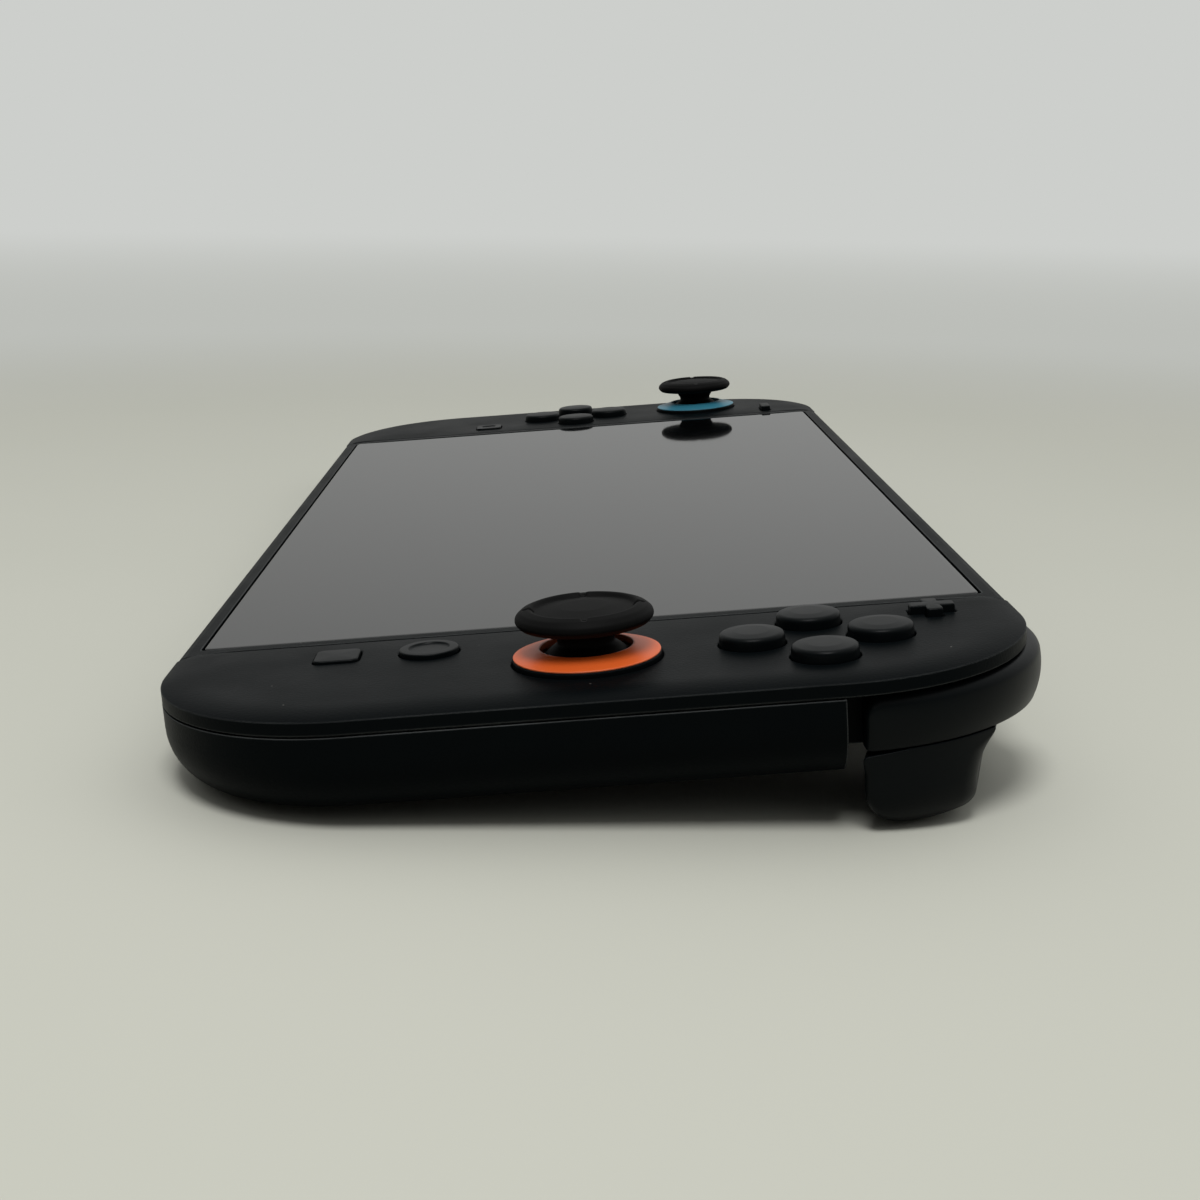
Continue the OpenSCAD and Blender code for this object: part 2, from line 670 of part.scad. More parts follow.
module rear_shell(right) {
    hollow_r = pocket_wall_r - 1.6;
    difference() {
        union() {
            difference() {
                shell_sweep("rear", shell_x);
                intersection() {
                    shell_sweep("hollow", shell_x + wall);
                    union() {
                        block(0, 200, -100, pocket_y - 1.6, -50, 10);
                        block(0, pocket_x - 1.5, -100, 100, -50, 10);
                    }
                }
                // room above the trigger, under the upper corner of the face
                intersection() {
                    translate([0, 0, -9.3]) linear_extrude(12) intersection() {
                        union() {
                            translate([corner_x, corner_y]) circle(hollow_r);
                            translate([pocket_x - 2, -10]) square([corner_x - pocket_x + 2, 80]);
                            translate([corner_x, -10]) square([hollow_r, 10 + corner_y]);
                        }
                        translate([pocket_x - 2, pocket_y - 4]) square([60, room_y - pocket_y + 4]);
                    }
                }
            }
            // posts under the board
            for (x = [6, 27], y = [-half_h + 47, pocket_y - 7.3])
                translate([shell_x + x, y, -body_t + 0.5]) cylinder(h = body_t - 10.7, r = 1.5);
            // guide of the release button
            translate([release_x, release_y, -body_t + 0.5]) slab(16.4, 8.4, 1.6, 3);
        }
        // pocket of the trigger, open behind
        block(pocket_x, half_l + 5, pocket_y, half_h + 5, -body_t - 5, pocket_top);
        // way of the shoulder button round the corner
        difference() {
            block(way_x, half_l + 5, pocket_y, half_h + 5, shoulder_low - 0.35, 5);
            translate([corner_x, corner_y, -20]) cylinder(h = 40, r = pocket_wall_r);
            block(0, corner_x, 0, corner_y + pocket_wall_r, -20, 20);
        }
        // room for the trigger's hinge
        at_trigger_line() block(0.4, 10.9, -2.8, 2.8, pocket_top - 0.1, trigger_pin_z + 2.6);
        // room under the buttons
        if (right) at_buttons(right_cluster_y)
            translate([0, 0, -button_travel - 2.8]) cylinder(h = 5, r = button_r + 0.8);
        translate([plus_x, plus_y, -3.6]) slab(bar_len + 1.9, bar_len + 1.9, 5, 1);
        // release button behind
        translate([release_x, release_y, -body_t - 1]) slab(12.4, 4.4, 4, 2.1);
    }
    // pin of the trigger
    at_trigger_line() translate([-1.2, 0, trigger_pin_z]) rotate([0, 90, 0])
        cylinder(h = 10.8, r = trigger_pin_r);
}

module rail_plate() {
    difference() {
        translate([shell_x, 0, dock_z]) rotate([0, -90, 0]) slab(rail_w, rail_len, rail_h, 1.6);
        block(0, shell_x - 0.2, -7.6, 7.6, dock_z - 1.6, dock_z + 1.6);
        for (y = [-28, 28]) translate([shell_x + 1, y, dock_z]) rotate([0, -90, 0]) slab(4.6, 16, 6, 1.4);
    }
}

module rail_button(y) {
    translate([shell_x - 0.7, y, dock_z]) rotate([0, -90, 0]) slab(4.2, 15.6, rail_h - 0.4, 1.2);
}

module stick_ring() {
    rotate_extrude() polygon([[ring_open_r, ring_lip - 0.8], [ring_open_r, ring_lip - 0.2],
        [ring_open_r + 0.2, ring_lip], [ring_r - 0.3, 0.62], [ring_r, 0.4], [ring_r, -face_t],
        [ring_r + 1, -face_t], [ring_r + 1, -face_t - 0.5], [ring_r - 0.8, -face_t - 0.5],
        [ring_r - 0.8, -0.3]]);
}

// circuit board with the stick's cup
module stick_board(stick_y) {
    difference() {
        union() {
            block(shell_x + 3, half_l - 5, -half_h + 43.5, pocket_y - 2.3, -10.2, -9.2);
            at_stick(stick_y) translate([0, 0, -9.3]) slab(15.4, 15.4, 5.9, 1.5);
        }
        at_stick(stick_y) translate([0, 0, -8.4]) cylinder(h = 8, r = 6.15);
        at_stick(stick_y) translate([0, 8, -pivot_z]) rotate([90, 0, 0])
            cylinder(h = 16, r = gimbal_pin_r + pin_play);
        // relief above the dome's edge
        at_stick(stick_y) translate([0, 0, -pivot_z]) sphere(dome_r + 0.3);
    }
}

module stick_yoke() {
    difference() {
        translate([0, 0, -pivot_z - 1.1]) cylinder(h = 2.2, r = 5.6);
        translate([0, 0, -pivot_z - 2]) cylinder(h = 4, r = 4.3);
        translate([-8, 0, -pivot_z]) rotate([0, 90, 0]) cylinder(h = 16, r = gimbal_pin_r + pin_play);
    }
    for (s = [-1, 1]) translate([0, s * 6.3, -pivot_z]) rotate([90, 0, 0])
        cylinder(h = 2, r = gimbal_pin_r, center = true);
}

module stick_cap() {
    edge_z = cap_top - 2.5;
    difference() {
        rotate_extrude() polygon([[0, -1.2], [3, -1.2], [3.8, 0], [3.85, 2.8], [4.3, 3.5],
            [6.2, edge_z - 1.2], [cap_r - 0.7, edge_z - 0.9], [cap_r - 0.15, edge_z - 0.35],
            [cap_r, edge_z + 0.2], [cap_r - 0.2, edge_z + 0.9], [cap_r - 0.6, edge_z + 1.6],
            [cap_r - 1.2, edge_z + 2.2], [cap_r - 2.1, cap_top], [cap_r - 2.4, cap_top - 0.15],
            [cap_r - 2.7, cap_top - 0.7], [3, cap_top - 0.4], [0, cap_top - 0.25]]);
        for (a = [0 : 90 : 270])
            rotate([0, 0, a]) translate([cap_r - 2.8, -0.35, cap_top - 0.6]) cube([1.6, 0.7, 2]);
    }
    // dome that slides under the ring
    difference() {
        intersection() {
            translate([0, 0, -pivot_z]) sphere(dome_r);
            translate([0, 0, -1.3]) cylinder(h = 4, r = 8);
        }
        translate([0, 0, -pivot_z]) sphere(dome_r - 1);
    }
    // stem and gimbal pins
    translate([0, 0, -pivot_z - 1.4]) cylinder(h = pivot_z + 1.4, r = 1.8);
    translate([0, 0, -pivot_z - 1.4]) cylinder(h = 2.8, r = 3.4);
    translate([-5.2, 0, -pivot_z]) rotate([0, 90, 0]) cylinder(h = 10.4, r = gimbal_pin_r);
}

module face_button() {
    rotate_extrude() polygon([[0, -8], [1.5, -8], [1.5, -2.4], [button_r + 0.5, -2.4],
        [button_r + 0.5, -face_t - 0.1], [button_r, -face_t - 0.1], [button_r, button_top - 1],
        [button_r - 0.12, button_top - 0.65], [button_r - 0.45, button_top - 0.35],
        [button_r - 1.1, button_top - 0.13], [button_r * 0.45, button_top - 0.02], [0, button_top]]);
}

module cluster_button(y, a) {
    translate([button_x + cluster_r * cos(a), y + cluster_r * sin(a), 0]) face_button();
}

module cross_bar(cross, extra, h) {
    linear_extrude(h) {
        square([bar_len + 2 * extra, bar_w + 2 * extra], center = true);
        if (cross) square([bar_w + 2 * extra, bar_len + 2 * extra], center = true);
    }
}

module bar_button(cross) {
    translate([plus_x, plus_y, -face_t - 0.2]) {
        cross_bar(cross, 0, face_t + 0.2 + bar_top);
        translate([0, 0, -0.6]) slab(bar_len + 1.1, bar_len + 1.1, 0.6, 0.8);
    }
}

module disc_button() {
    translate([home_x, home_y, 0]) rotate_extrude() polygon([[0, -2.6], [key_r + 0.6, -2.6],
        [key_r + 0.6, -face_t - 0.1], [key_r, -face_t - 0.1], [key_r, 0.4], [key_r - 0.25, 0.65],
        [key_r - 1.2, 0.65], [key_r - 1.4, 0.45], [0, 0.45]]);
}

module square_button(x, y, dished) {
    translate([x, y, -face_t - 0.6]) difference() {
        union() {
            slab(key_w + 1, key_w + 1, 0.5, key_corner + 0.2);
            slab(key_w, key_w, face_t + 1, key_corner);
        }
        if (dished) translate([0, 0, face_t + 0.8]) cylinder(h = 1, r = 1.9);
    }
}

// shoulder button: a bulging bar round the upper corner
module shoulder() {
    difference() {
        translate([shoulder_x, shoulder_y, 0]) rotate([0, 0, 1.5]) rotate_extrude(angle = 95.5)
            intersection() {
                translate([shoulder_out - bulge_r, shoulder_mid_z]) circle(bulge_r);
                translate([shoulder_in, shoulder_low]) square([shoulder_t + 1, shoulder_high - shoulder_low]);
            }
        at_shoulder_pin() translate([0, 0, -20]) cylinder(h = 30, r = shoulder_pin_r + pin_play);
    }
}

// trigger: flush with the shoulder button outside, hollowed where the finger pulls, rounded below
module trigger() {
    top_z = shoulder_low - 0.3;
    back_z = top_z - 0.5;
    lip_r = 2.5;
    hollow_r = 11.5;
    difference() {
        union() {
            intersection() {
                at_trigger_line() along_x(-6, 36) difference() {
                    soft_poly([[-trigger_low_r, back_z, 0], [0, tip_z, trigger_low_r],
                        [4.7, tip_z - 2.2, lip_r], [10.3, top_z, 0], [0, top_z, 0]]);
                    // hollow for the finger
                    translate([7.2 + hollow_r, tip_z - 2.1]) circle(hollow_r);
                    // slope behind the hinge line, so that the back rises clear of the shoulder button
                    polygon([[-2 * trigger_low_r, 2 * back_z - top_z], [0, top_z], [30, top_z], [30, 0],
                        [-2 * trigger_low_r, 0]]);
                }
                translate([0, 0, -40]) linear_extrude(35) {
                    translate([shoulder_x, shoulder_y]) circle(flush_r);
                    translate([pocket_x - 5, 0]) square([shoulder_x - pocket_x + 5, shoulder_y + flush_r]);
                }
                along_y(10, 80) {
                    translate([pocket_x + 1, -trigger_depth + trigger_end_r])
                        square([tip_x + trigger_end_r - pocket_x - 1, 12]);
                    translate([pocket_x + 4, -trigger_depth - 1]) square([tip_x - pocket_x - 4, 12]);
                    translate([tip_x, -trigger_depth + trigger_end_r]) circle(trigger_end_r);
                    translate([pocket_x + 4, -trigger_depth + 3]) circle(3);
                    translate([pocket_x + 1, -trigger_depth + 3]) square([4, 12]);
                }
            }
            at_trigger_line() {
                translate([1, 0, trigger_pin_z]) rotate([0, 90, 0]) cylinder(h = 8.8, r = 2.1);
                block(1, 9.8, -2.1, 2.1, top_z - 1.2, trigger_pin_z);
            }
        }
        at_trigger_line() translate([-5, 0, trigger_pin_z]) rotate([0, 90, 0])
            cylinder(h = 30, r = trigger_pin_r + pin_play);
    }
}

module release_button() {
    translate([release_x, release_y, -body_t - 0.3]) slab(12, 4, 2.6, 1.9);
    translate([release_x, release_y, -body_t + 2.3]) slab(14, 6, 0.6, 2.4);
}

module cell() {
    translate([shell_x + 11.8, -half_h + 27, -body_t + wall]) slab(17, 27, 4.6, 1.5);
}

// right controller

module right_front_shell() { color("#1d1f20") front_shell(right_stick_y, right_cluster_y, true); }
module right_rear_shell() { color("#191b1c") rear_shell(true); }
module right_rail_plate() { color("#e2703a") rail_plate(); }
module right_stick_ring() { color("#e2703a") at_stick(right_stick_y) stick_ring(); }
module right_board() { color("#1f4a34") stick_board(right_stick_y); }
module right_stick_yoke() { color("#8f9396") at_stick(right_stick_y) stick_yoke(); }
module right_stick_cap() { color("#17191a") at_stick(right_stick_y) stick_cap(); }
module right_button_top() { color("#17191a") cluster_button(right_cluster_y, 90); }
module right_button_bottom() { color("#17191a") cluster_button(right_cluster_y, 270); }
module right_button_inner() { color("#17191a") cluster_button(right_cluster_y, 180); }
module right_button_outer() { color("#17191a") cluster_button(right_cluster_y, 0); }
module plus_button() { color("#17191a") bar_button(true); }
module home_button() { color("#17191a") disc_button(); }
module chat_button() { color("#17191a") square_button(chat_x, chat_y, false); }
module right_shoulder() { color("#191b1c") shoulder(); }
module right_trigger() { color("#17191a") trigger(); }
module right_release() { color("#17191a") release_button(); }
module right_rail_button_upper() { color("#b9bcbe") rail_button(28); }
module right_rail_button_lower() { color("#b9bcbe") rail_button(-28); }
module right_cell() { color("#3b3d40") cell(); }

// left controller

module left_front_shell() { color("#1d1f20") left_side() front_shell(left_stick_y, left_cluster_y, false); }
module left_rear_shell() { color("#191b1c") left_side() rear_shell(false); }
module left_rail_plate() { color("#5aa0b8") left_side() rail_plate(); }
module left_stick_ring() { color("#5aa0b8") left_side() at_stick(left_stick_y) stick_ring(); }
module left_board() { color("#1f4a34") left_side() stick_board(left_stick_y); }
module left_stick_yoke() { color("#8f9396") left_side() at_stick(left_stick_y) stick_yoke(); }
module left_stick_cap() { color("#17191a") left_side() at_stick(left_stick_y) stick_cap(); }
module left_button_top() { color("#17191a") left_side() cluster_button(left_cluster_y, 90); }
module left_button_bottom() { color("#17191a") left_side() cluster_button(left_cluster_y, 270); }
module left_button_inner() { color("#17191a") left_side() cluster_button(left_cluster_y, 180); }
module left_button_outer() { color("#17191a") left_side() cluster_button(left_cluster_y, 0); }
module minus_button() { color("#17191a") left_side() bar_button(false); }
module capture_button() { color("#17191a") left_side() square_button(home_x, capture_y, true); }
module left_shoulder() { color("#191b1c") left_side() shoulder(); }
module left_trigger() { color("#17191a") left_side() trigger(); }
module left_release() { color("#17191a") left_side() release_button(); }
module left_rail_button_upper() { color("#b9bcbe") left_side() rail_button(28); }
module left_rail_button_lower() { color("#b9bcbe") left_side() rail_button(-28); }
module left_cell() { color("#3b3d40") left_side() cell(); }

lie() rear_housing();
lie() bezel_frame();
lie() display_glass();
lie() display_panel();
lie() mid_plate();
lie() main_board();
lie() heat_sink();
lie() fan_housing();
lie() fan_rotor();
lie() battery_pack();
lie() speakers();
lie() card_reader();
lie() card_door();
lie() audio_jack();
lie() usb_ports();
lie() power_button();
lie() volume_rocker();
lie() rail_docks();
lie() kickstand();
lie() kickstand_pins();
lie() housing_screws();
lie() right_front_shell();
lie() right_rear_shell();
lie() right_rail_plate();
lie() right_stick_ring();
lie() right_board();
lie() right_stick_yoke();
lie() right_stick_cap();
lie() right_button_top();
lie() right_button_bottom();
lie() right_button_inner();
lie() right_button_outer();
lie() plus_button();
lie() home_button();
lie() chat_button();
lie() right_shoulder();
lie() right_trigger();
lie() right_release();
lie() right_rail_button_upper();
lie() right_rail_button_lower();
lie() right_cell();
lie() left_front_shell();
lie() left_rear_shell();
lie() left_rail_plate();
lie() left_stick_ring();
lie() left_board();
lie() left_stick_yoke();
lie() left_stick_cap();
lie() left_button_top();
lie() left_button_bottom();
lie() left_button_inner();
lie() left_button_outer();
lie() minus_button();
lie() capture_button();
lie() left_shoulder();
lie() left_trigger();
lie() left_release();
lie() left_rail_button_upper();
lie() left_rail_button_lower();
lie() left_cell();
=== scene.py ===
import json
import math

import bmesh
import bpy
import numpy as np
from mathutils import Matrix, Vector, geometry


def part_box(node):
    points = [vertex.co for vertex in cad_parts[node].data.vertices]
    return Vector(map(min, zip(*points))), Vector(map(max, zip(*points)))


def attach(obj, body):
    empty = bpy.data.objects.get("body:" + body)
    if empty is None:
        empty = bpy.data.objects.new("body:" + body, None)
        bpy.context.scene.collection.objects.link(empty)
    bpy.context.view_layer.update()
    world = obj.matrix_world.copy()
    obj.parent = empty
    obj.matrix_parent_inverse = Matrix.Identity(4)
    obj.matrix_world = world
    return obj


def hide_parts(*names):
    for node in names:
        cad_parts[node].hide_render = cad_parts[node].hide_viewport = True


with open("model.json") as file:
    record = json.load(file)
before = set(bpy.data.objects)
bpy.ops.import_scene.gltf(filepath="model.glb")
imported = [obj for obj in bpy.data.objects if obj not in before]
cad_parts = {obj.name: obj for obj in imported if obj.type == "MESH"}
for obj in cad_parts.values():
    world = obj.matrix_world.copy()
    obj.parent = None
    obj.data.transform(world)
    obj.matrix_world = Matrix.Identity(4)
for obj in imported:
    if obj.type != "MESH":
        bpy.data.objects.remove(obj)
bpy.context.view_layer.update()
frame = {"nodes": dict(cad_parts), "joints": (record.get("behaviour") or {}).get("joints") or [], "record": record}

# The console is drawn level, in millimetres: x along its length, y to its top edge, z out of the screen.
# Its tilt on the table is read from a button's press, its place from the middle of the glass.
device = {"glassMiddle": -0.65}
pressAxis = next(j["axis"] for j in frame["joints"] if j["name"] == "home_press")
outOfScreen = -np.array(pressAxis)
turn = np.column_stack(((1, 0, 0), np.cross(outOfScreen, (1, 0, 0)), outOfScreen))
glassBox = [np.array(corner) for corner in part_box("display_glass")]
origin = sum(glassBox) / 2 - turn @ (0, 0, device["glassMiddle"] / 1000)


def place(points):  # level millimetres to the table's metres
    return np.asarray(points, float) / 1000 @ turn.T + origin


def makePiece(name, body, patches, sharp=38):
    # patches are grids of points (rows, columns, 3) or pairs (points, triangles); shared edges are welded
    points, quads, triangles, base = [], [np.zeros((0, 4), int)], [np.zeros((0, 3), int)], 0
    for patch in patches:
        if isinstance(patch, tuple):
            own, faces = patch
            triangles.append(np.asarray(faces) + base)
        else:
            rows, columns = patch.shape[:2]
            own = patch.reshape(-1, 3)
            index = base + np.arange(rows * columns).reshape(rows, columns)
            corners = (index[:-1, :-1], index[1:, :-1], index[1:, 1:], index[:-1, 1:])
            quads.append(np.stack(corners, -1).reshape(-1, 4))
        points.append(own)
        base += len(own)
    points = np.concatenate(points)
    key = np.round(points, 4) + 0.0
    _, first, weld = np.unique(key, axis=0, return_index=True, return_inverse=True)
    weld = weld.reshape(-1)
    faces = []
    for group in (weld[np.concatenate(quads)], weld[np.concatenate(triangles)]):
        same = group == np.roll(group, -1, axis=1)
        faces += group[same.sum(1) == 0].tolist()
        if group.shape[1] == 4:  # a quad with two corners in one place is a triangle
            faces += group[same.sum(1) == 1][~same[same.sum(1) == 1]].reshape(-1, 3).tolist()
    mesh = bpy.data.meshes.new(name)
    mesh.from_pydata(place(points[first]).tolist(), [], faces)
    build = bmesh.new()
    build.from_mesh(mesh)
    bmesh.ops.remove_doubles(build, verts=build.verts, dist=4e-7)  # corners that rounding put a step apart
    bmesh.ops.delete(build, geom=[v for v in build.verts if not v.link_faces], context="VERTS")
    bmesh.ops.recalc_face_normals(build, faces=build.faces)
    build.to_mesh(mesh)
    build.free()
    mesh.shade_smooth()
    mesh.set_sharp_from_angle(angle=math.radians(sharp))
    piece = bpy.data.objects.new(name, mesh)
    bpy.context.scene.collection.objects.link(piece)
    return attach(piece, body)


def rounded(corners, steps=6):
    # corner list (a, b, radius) to a line whose corners are small parabola arcs of about that radius
    line = [np.array(corners[0][:2], float)]
    for before, corner, after in zip(corners[:-2], corners[1:-1], corners[2:]):
        p = np.array(corner[:2], float)
        toA, toB = np.array(before[:2]) - p, np.array(after[:2]) - p
        reach = [np.linalg.norm(v) for v in (toA, toB)]
        cosine = np.clip(toA @ toB / reach[0] / reach[1], -1, 1)
        cut = min(corner[2] / max(math.tan(math.acos(cosine) / 2), 1e-6), 0.48 * min(reach))
        t = np.linspace(0, 1, steps + 1)[:, None] if corner[2] > 0 else np.zeros((1, 1))
        start, end = p + toA / reach[0] * cut, p + toB / reach[1] * cut
        line += list((1 - t) ** 2 * start + 2 * t * (1 - t) * p + t**2 * end)
    line.append(np.array(corners[-1][:2], float))
    return np.array(line)


def closedRound(corners, steps=6):
    # the same for a closed outline: the line starts and ends in the middle of its last side
    a, b = np.array(corners[-1][:2], float), np.array(corners[0][:2], float)
    middle = (*((a + b) / 2), 0)
    return rounded([middle, *corners, middle], steps)


def atHeight(plan, height):  # points of the plan lifted to one height, or each to its own
    return np.column_stack((plan, np.broadcast_to(height, len(plan))))


def turned(profile, centre, angle=np.linspace(0, 2 * math.pi, 97)):
    # a profile (radius, height) turned about an upright axis
    radius, height = np.asarray(profile, float).T[:, :, None]
    x, y = centre[0] + radius * np.cos(angle), centre[1] + radius * np.sin(angle)
    return np.stack((x, y, np.broadcast_to(height, x.shape)), -1)


def fan(loop):  # a closed loop filled towards its middle
    return np.stack((loop, np.broadcast_to(loop[:-1].mean(0), loop.shape)))


def endFan(grid, column):  # the end of a grid, closed across its rows
    return fan(np.concatenate((grid[:, column], grid[:1, column])))


def sideOf(patches, side):  # pieces are drawn for the right controller and mirrored for the left
    flip = np.array((side, 1, 1))
    return [(patch[0] * flip, patch[1]) if isinstance(patch, tuple) else patch * flip for patch in patches]


def quarter(radius, gap):
    # how far a rounded edge of that radius falls back at a distance from the edge
    return radius - np.sqrt(np.maximum(radius**2 - np.maximum(radius - gap, 0) ** 2, 0))


def linear(hexColour):  # sRGB hex to linear light
    share = np.array([int(hexColour[i:i + 2], 16) for i in (1, 3, 5)]) / 255
    return (*np.where(share <= 0.04045, share / 12.92, ((share + 0.055) / 1.055) ** 2.4), 1.0)


def addNode(tree, kind, settings, inputs):
    node = tree.nodes.new("ShaderNode" + kind)
    for key, value in settings.items():
        setattr(node, key, value)
    for key, value in inputs.items():
        if isinstance(value, bpy.types.NodeSocket):
            tree.links.new(value, node.inputs[key])
        else:
            node.inputs[key].default_value = value
    return node


def makeFinish(name, look):
    # the base colour drifts between two tones, grain lifts the surface, edges are lightened, partly as rubbed wear
    # and partly as a painted highlight along creases and rims, and dust lies on it
    material = bpy.data.materials.new(name)
    material.use_nodes = True
    tree = material.node_tree
    shader = tree.nodes["Principled BSDF"]
    where = addNode(tree, "TexCoord", {}, {}).outputs["Object"]
    drift = addNode(tree, "TexNoise", {}, {"Vector": where, "Scale": 1000 / look["driftMm"], "Detail": 4.0})
    grain = addNode(tree, "TexNoise", {}, {"Vector": where, "Scale": 1000 / look["grainMm"], "Detail": 3.0})
    tone = addNode(tree, "Mix", {"data_type": "RGBA"},
                   {0: drift.outputs["Fac"], 6: linear(look["colour"]), 7: linear(look["second"])})
    edge = addNode(tree, "Bevel", {"samples": 6}, {"Radius": look["edgeMm"] / 1000})
    flat = addNode(tree, "NewGeometry", {}, {})
    facing = addNode(tree, "VectorMath", {"operation": "DOT_PRODUCT"},
                     {0: edge.outputs[0], 1: flat.outputs["Normal"]})
    # mask for the lighter edge colour from the bevel: partly rubbed wear, partly a painted highlight on creases
    # and rims
    edgeWearAndHighlight = addNode(tree, "MapRange", {},
                  {"Value": facing.outputs["Value"], "From Min": look["edgeWearAndHighlightSpan"][0],
                   "From Max": look["edgeWearAndHighlightSpan"][1], "To Min": 0.0, "To Max": look["edgeWearAndHighlight"]})
    wearAndHighlightMask = addNode(tree, "Math", {"operation": "MULTIPLY"}, {0: edgeWearAndHighlight.outputs[0], 1: drift.outputs["Fac"]})
    edged = addNode(tree, "Mix", {"data_type": "RGBA"},
                    {0: wearAndHighlightMask.outputs[0], 6: tone.outputs[2], 7: linear(look["edge"])})
    cells = addNode(tree, "TexVoronoi", {}, {"Vector": where, "Scale": 1000 / look["dustMm"]})
    speck = addNode(tree, "MapRange", {},
                    {"Value": cells.outputs["Distance"], "From Min": look["speckSpan"][0],
                     "From Max": look["speckSpan"][1], "To Min": 0.0, "To Max": look["dust"]})
    dusty = addNode(tree, "Mix", {"data_type": "RGBA"},
                    {0: speck.outputs[0], 6: edged.outputs[2], 7: linear(look["dustColour"])})
    tree.links.new(dusty.outputs[2], shader.inputs["Base Color"])
    gloss = addNode(tree, "MapRange", {},
                    {"Value": drift.outputs["Fac"],
                     "From Min": look["glossSpan"][0], "From Max": look["glossSpan"][1],
                     "To Min": look["rough"][0], "To Max": look["rough"][1]})
    tree.links.new(gloss.outputs[0], shader.inputs["Roughness"])
    bump = addNode(tree, "Bump", {}, {"Height": grain.outputs["Fac"], "Strength": look["bump"],
                                      "Distance": look["grainMm"] / 4000, "Normal": edge.outputs[0]})
    tree.links.new(bump.outputs[0], shader.inputs["Normal"])
    shader.inputs["Metallic"].default_value = look.get("metal", 0.0)
    if not look.get("metal"):
        shader.inputs["IOR"].default_value = look.get("ior", 1.5)
    shader.inputs["Specular IOR Level"].default_value = look.get("specular", 0.5)
    return material


# what the finishes share; a span is the range of a pattern over which its effect comes in
plain = {"driftMm": 14, "glossSpan": (0.3, 0.7), "grainMm": 0.4, "bump": 0.25, "edgeMm": 0.18, "edgeWearAndHighlight": 0.5,
         "edgeWearAndHighlightSpan": (0.99, 0.86), "dust": 0.0, "dustMm": 7, "speckSpan": (0.022, 0.012),
         "dustColour": "#8f908a"}
looks = {
    # spark-eroded polycarbonate: matte black with a fine even grain, greyer along its edges, partly where hands
    # rub them and partly as a painted highlight along the face's crease
    "shell_black": ("mouldedPolycarbonateBlack", dict(
        plain, colour="#05080a", second="#070b0c", edge="#6a6d6d", edgeWearAndHighlight=1.0, edgeMm=0.3, rough=(0.36, 0.44),
        bump=0.3, dust=0.5, specular=0.024)),
    # strengthened cover glass over a black mask: sharp reflections with faint smears
    "cover_glass": ("coverGlassBlackMask", dict(
        plain, colour="#050607", second="#070809", edge="#101214", rough=(0.03, 0.06), bump=0.0, driftMm=40,
        edgeWearAndHighlight=0.2, ior=1.45)),
    # laminated display film: smooth, dark and half glossy
    "panel": ("displayFilm", dict(
        plain, colour="#121316", second="#17181c", edge="#202226", rough=(0.2, 0.3))),
    # stamped aluminium sheet: pale grey metal with a soft blurred shine
    "plate_aluminium": ("stampedAluminium", dict(
        plain, colour="#9fa2a4", second="#b3b5b6", edge="#d0d2d3", rough=(0.32, 0.45), metal=1.0)),
    # circuit board under solder lacquer: deep green with a wet-looking gloss
    "board_green": ("lacqueredBoard", dict(
        plain, colour="#16472d", second="#1c5638", edge="#3c7a58", rough=(0.25, 0.4))),
    # drawn copper pipe and fins: warm metal, slightly dulled
    "heat_copper": ("drawnCopper", dict(
        plain, colour="#b06a44", second="#c2805a", edge="#dd9f78", rough=(0.28, 0.4), metal=1.0)),
    # glass-filled nylon for inner frames: dull charcoal
    "inner_plastic": ("mouldedNylonBlack", dict(
        plain, colour="#1b1d1e", second="#212325", edge="#3a3c3e", rough=(0.5, 0.62))),
    # shrink film round the cells: dark grey with a plastic sheen
    "cell_wrap": ("cellFilmWrap", dict(
        plain, colour="#2a2b2e", second="#313236", edge="#4a4b4f", rough=(0.3, 0.42))),
    # nickel-plated steel for pins, screws and socket shells: grey metal, brighter at its edges
    "steel": ("nickelPlatedSteel", dict(
        plain, colour="#8e9092", second="#a3a5a6", edge="#c8cacb", rough=(0.28, 0.4), metal=1.0)),
    # powder coat on the stand's metal: near black and finely pebbled
    "stand_coat": ("powderCoatedStand", dict(
        plain, colour="#161819", second="#1b1d1e", edge="#444647", rough=(0.5, 0.6), grainMm=0.5)),
    # dyed ABS for rings and rails: an even strong colour with a satin shine, paler along its edges as a painted
    # highlight on the rim
    "orange_plastic": ("dyedAbsOrange", dict(
        plain, colour="#d9591d", second="#df6327", edge="#f0a07a", rough=(0.36, 0.44), bump=0.12, edgeWearAndHighlight=0.9)),
    "blue_plastic": ("dyedAbsBlue", dict(
        plain, colour="#2d758b", second="#377f95", edge="#8cc0d0", rough=(0.36, 0.44), bump=0.12, edgeWearAndHighlight=0.9)),
    # silicone rubber: dull, with a soft broad sheen
    "stick_rubber": ("siliconeRubberBlack", dict(
        plain, colour="#0a0a0a", second="#0d0d0d", edge="#1c1c1c", rough=(0.52, 0.62), grainMm=0.3, bump=0.2,
        specular=0.05)),
    # satin ABS keys: black, smoother than the shell, so that their tops catch more of the room
    "button_black": ("satinAbsBlack", dict(
        plain, colour="#05080a", second="#070b0c", edge="#242727", rough=(0.34, 0.42), grainMm=0.3, bump=0.1,
        specular=0.08)),
}
finishes = {slot: makeFinish(*look) for slot, look in looks.items()}
nodeSlot = {part["node"]: part["material_slot"] for part in frame["record"]["subparts"]}
for name, node in frame["nodes"].items():
    if not node.material_slots:
        node.data.materials.append(None)
    for slot in node.material_slots:
        slot.material = finishes[nodeSlot[name]]
print("finishes:", len(finishes))


def dress(piece, slot, *nodes):
    piece.data.materials.append(finishes[slot])
    if nodes:
        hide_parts(*nodes)
    return piece


sides = {"right": 1, "left": -1}
controller = {"stickX": 118.2, "stickY": {"right": -0.8, "left": 29.7}, "buttonX": 116.8, "clusterR": 8.45,
              "clusterY": {"right": 29.3, "left": -1.0}}

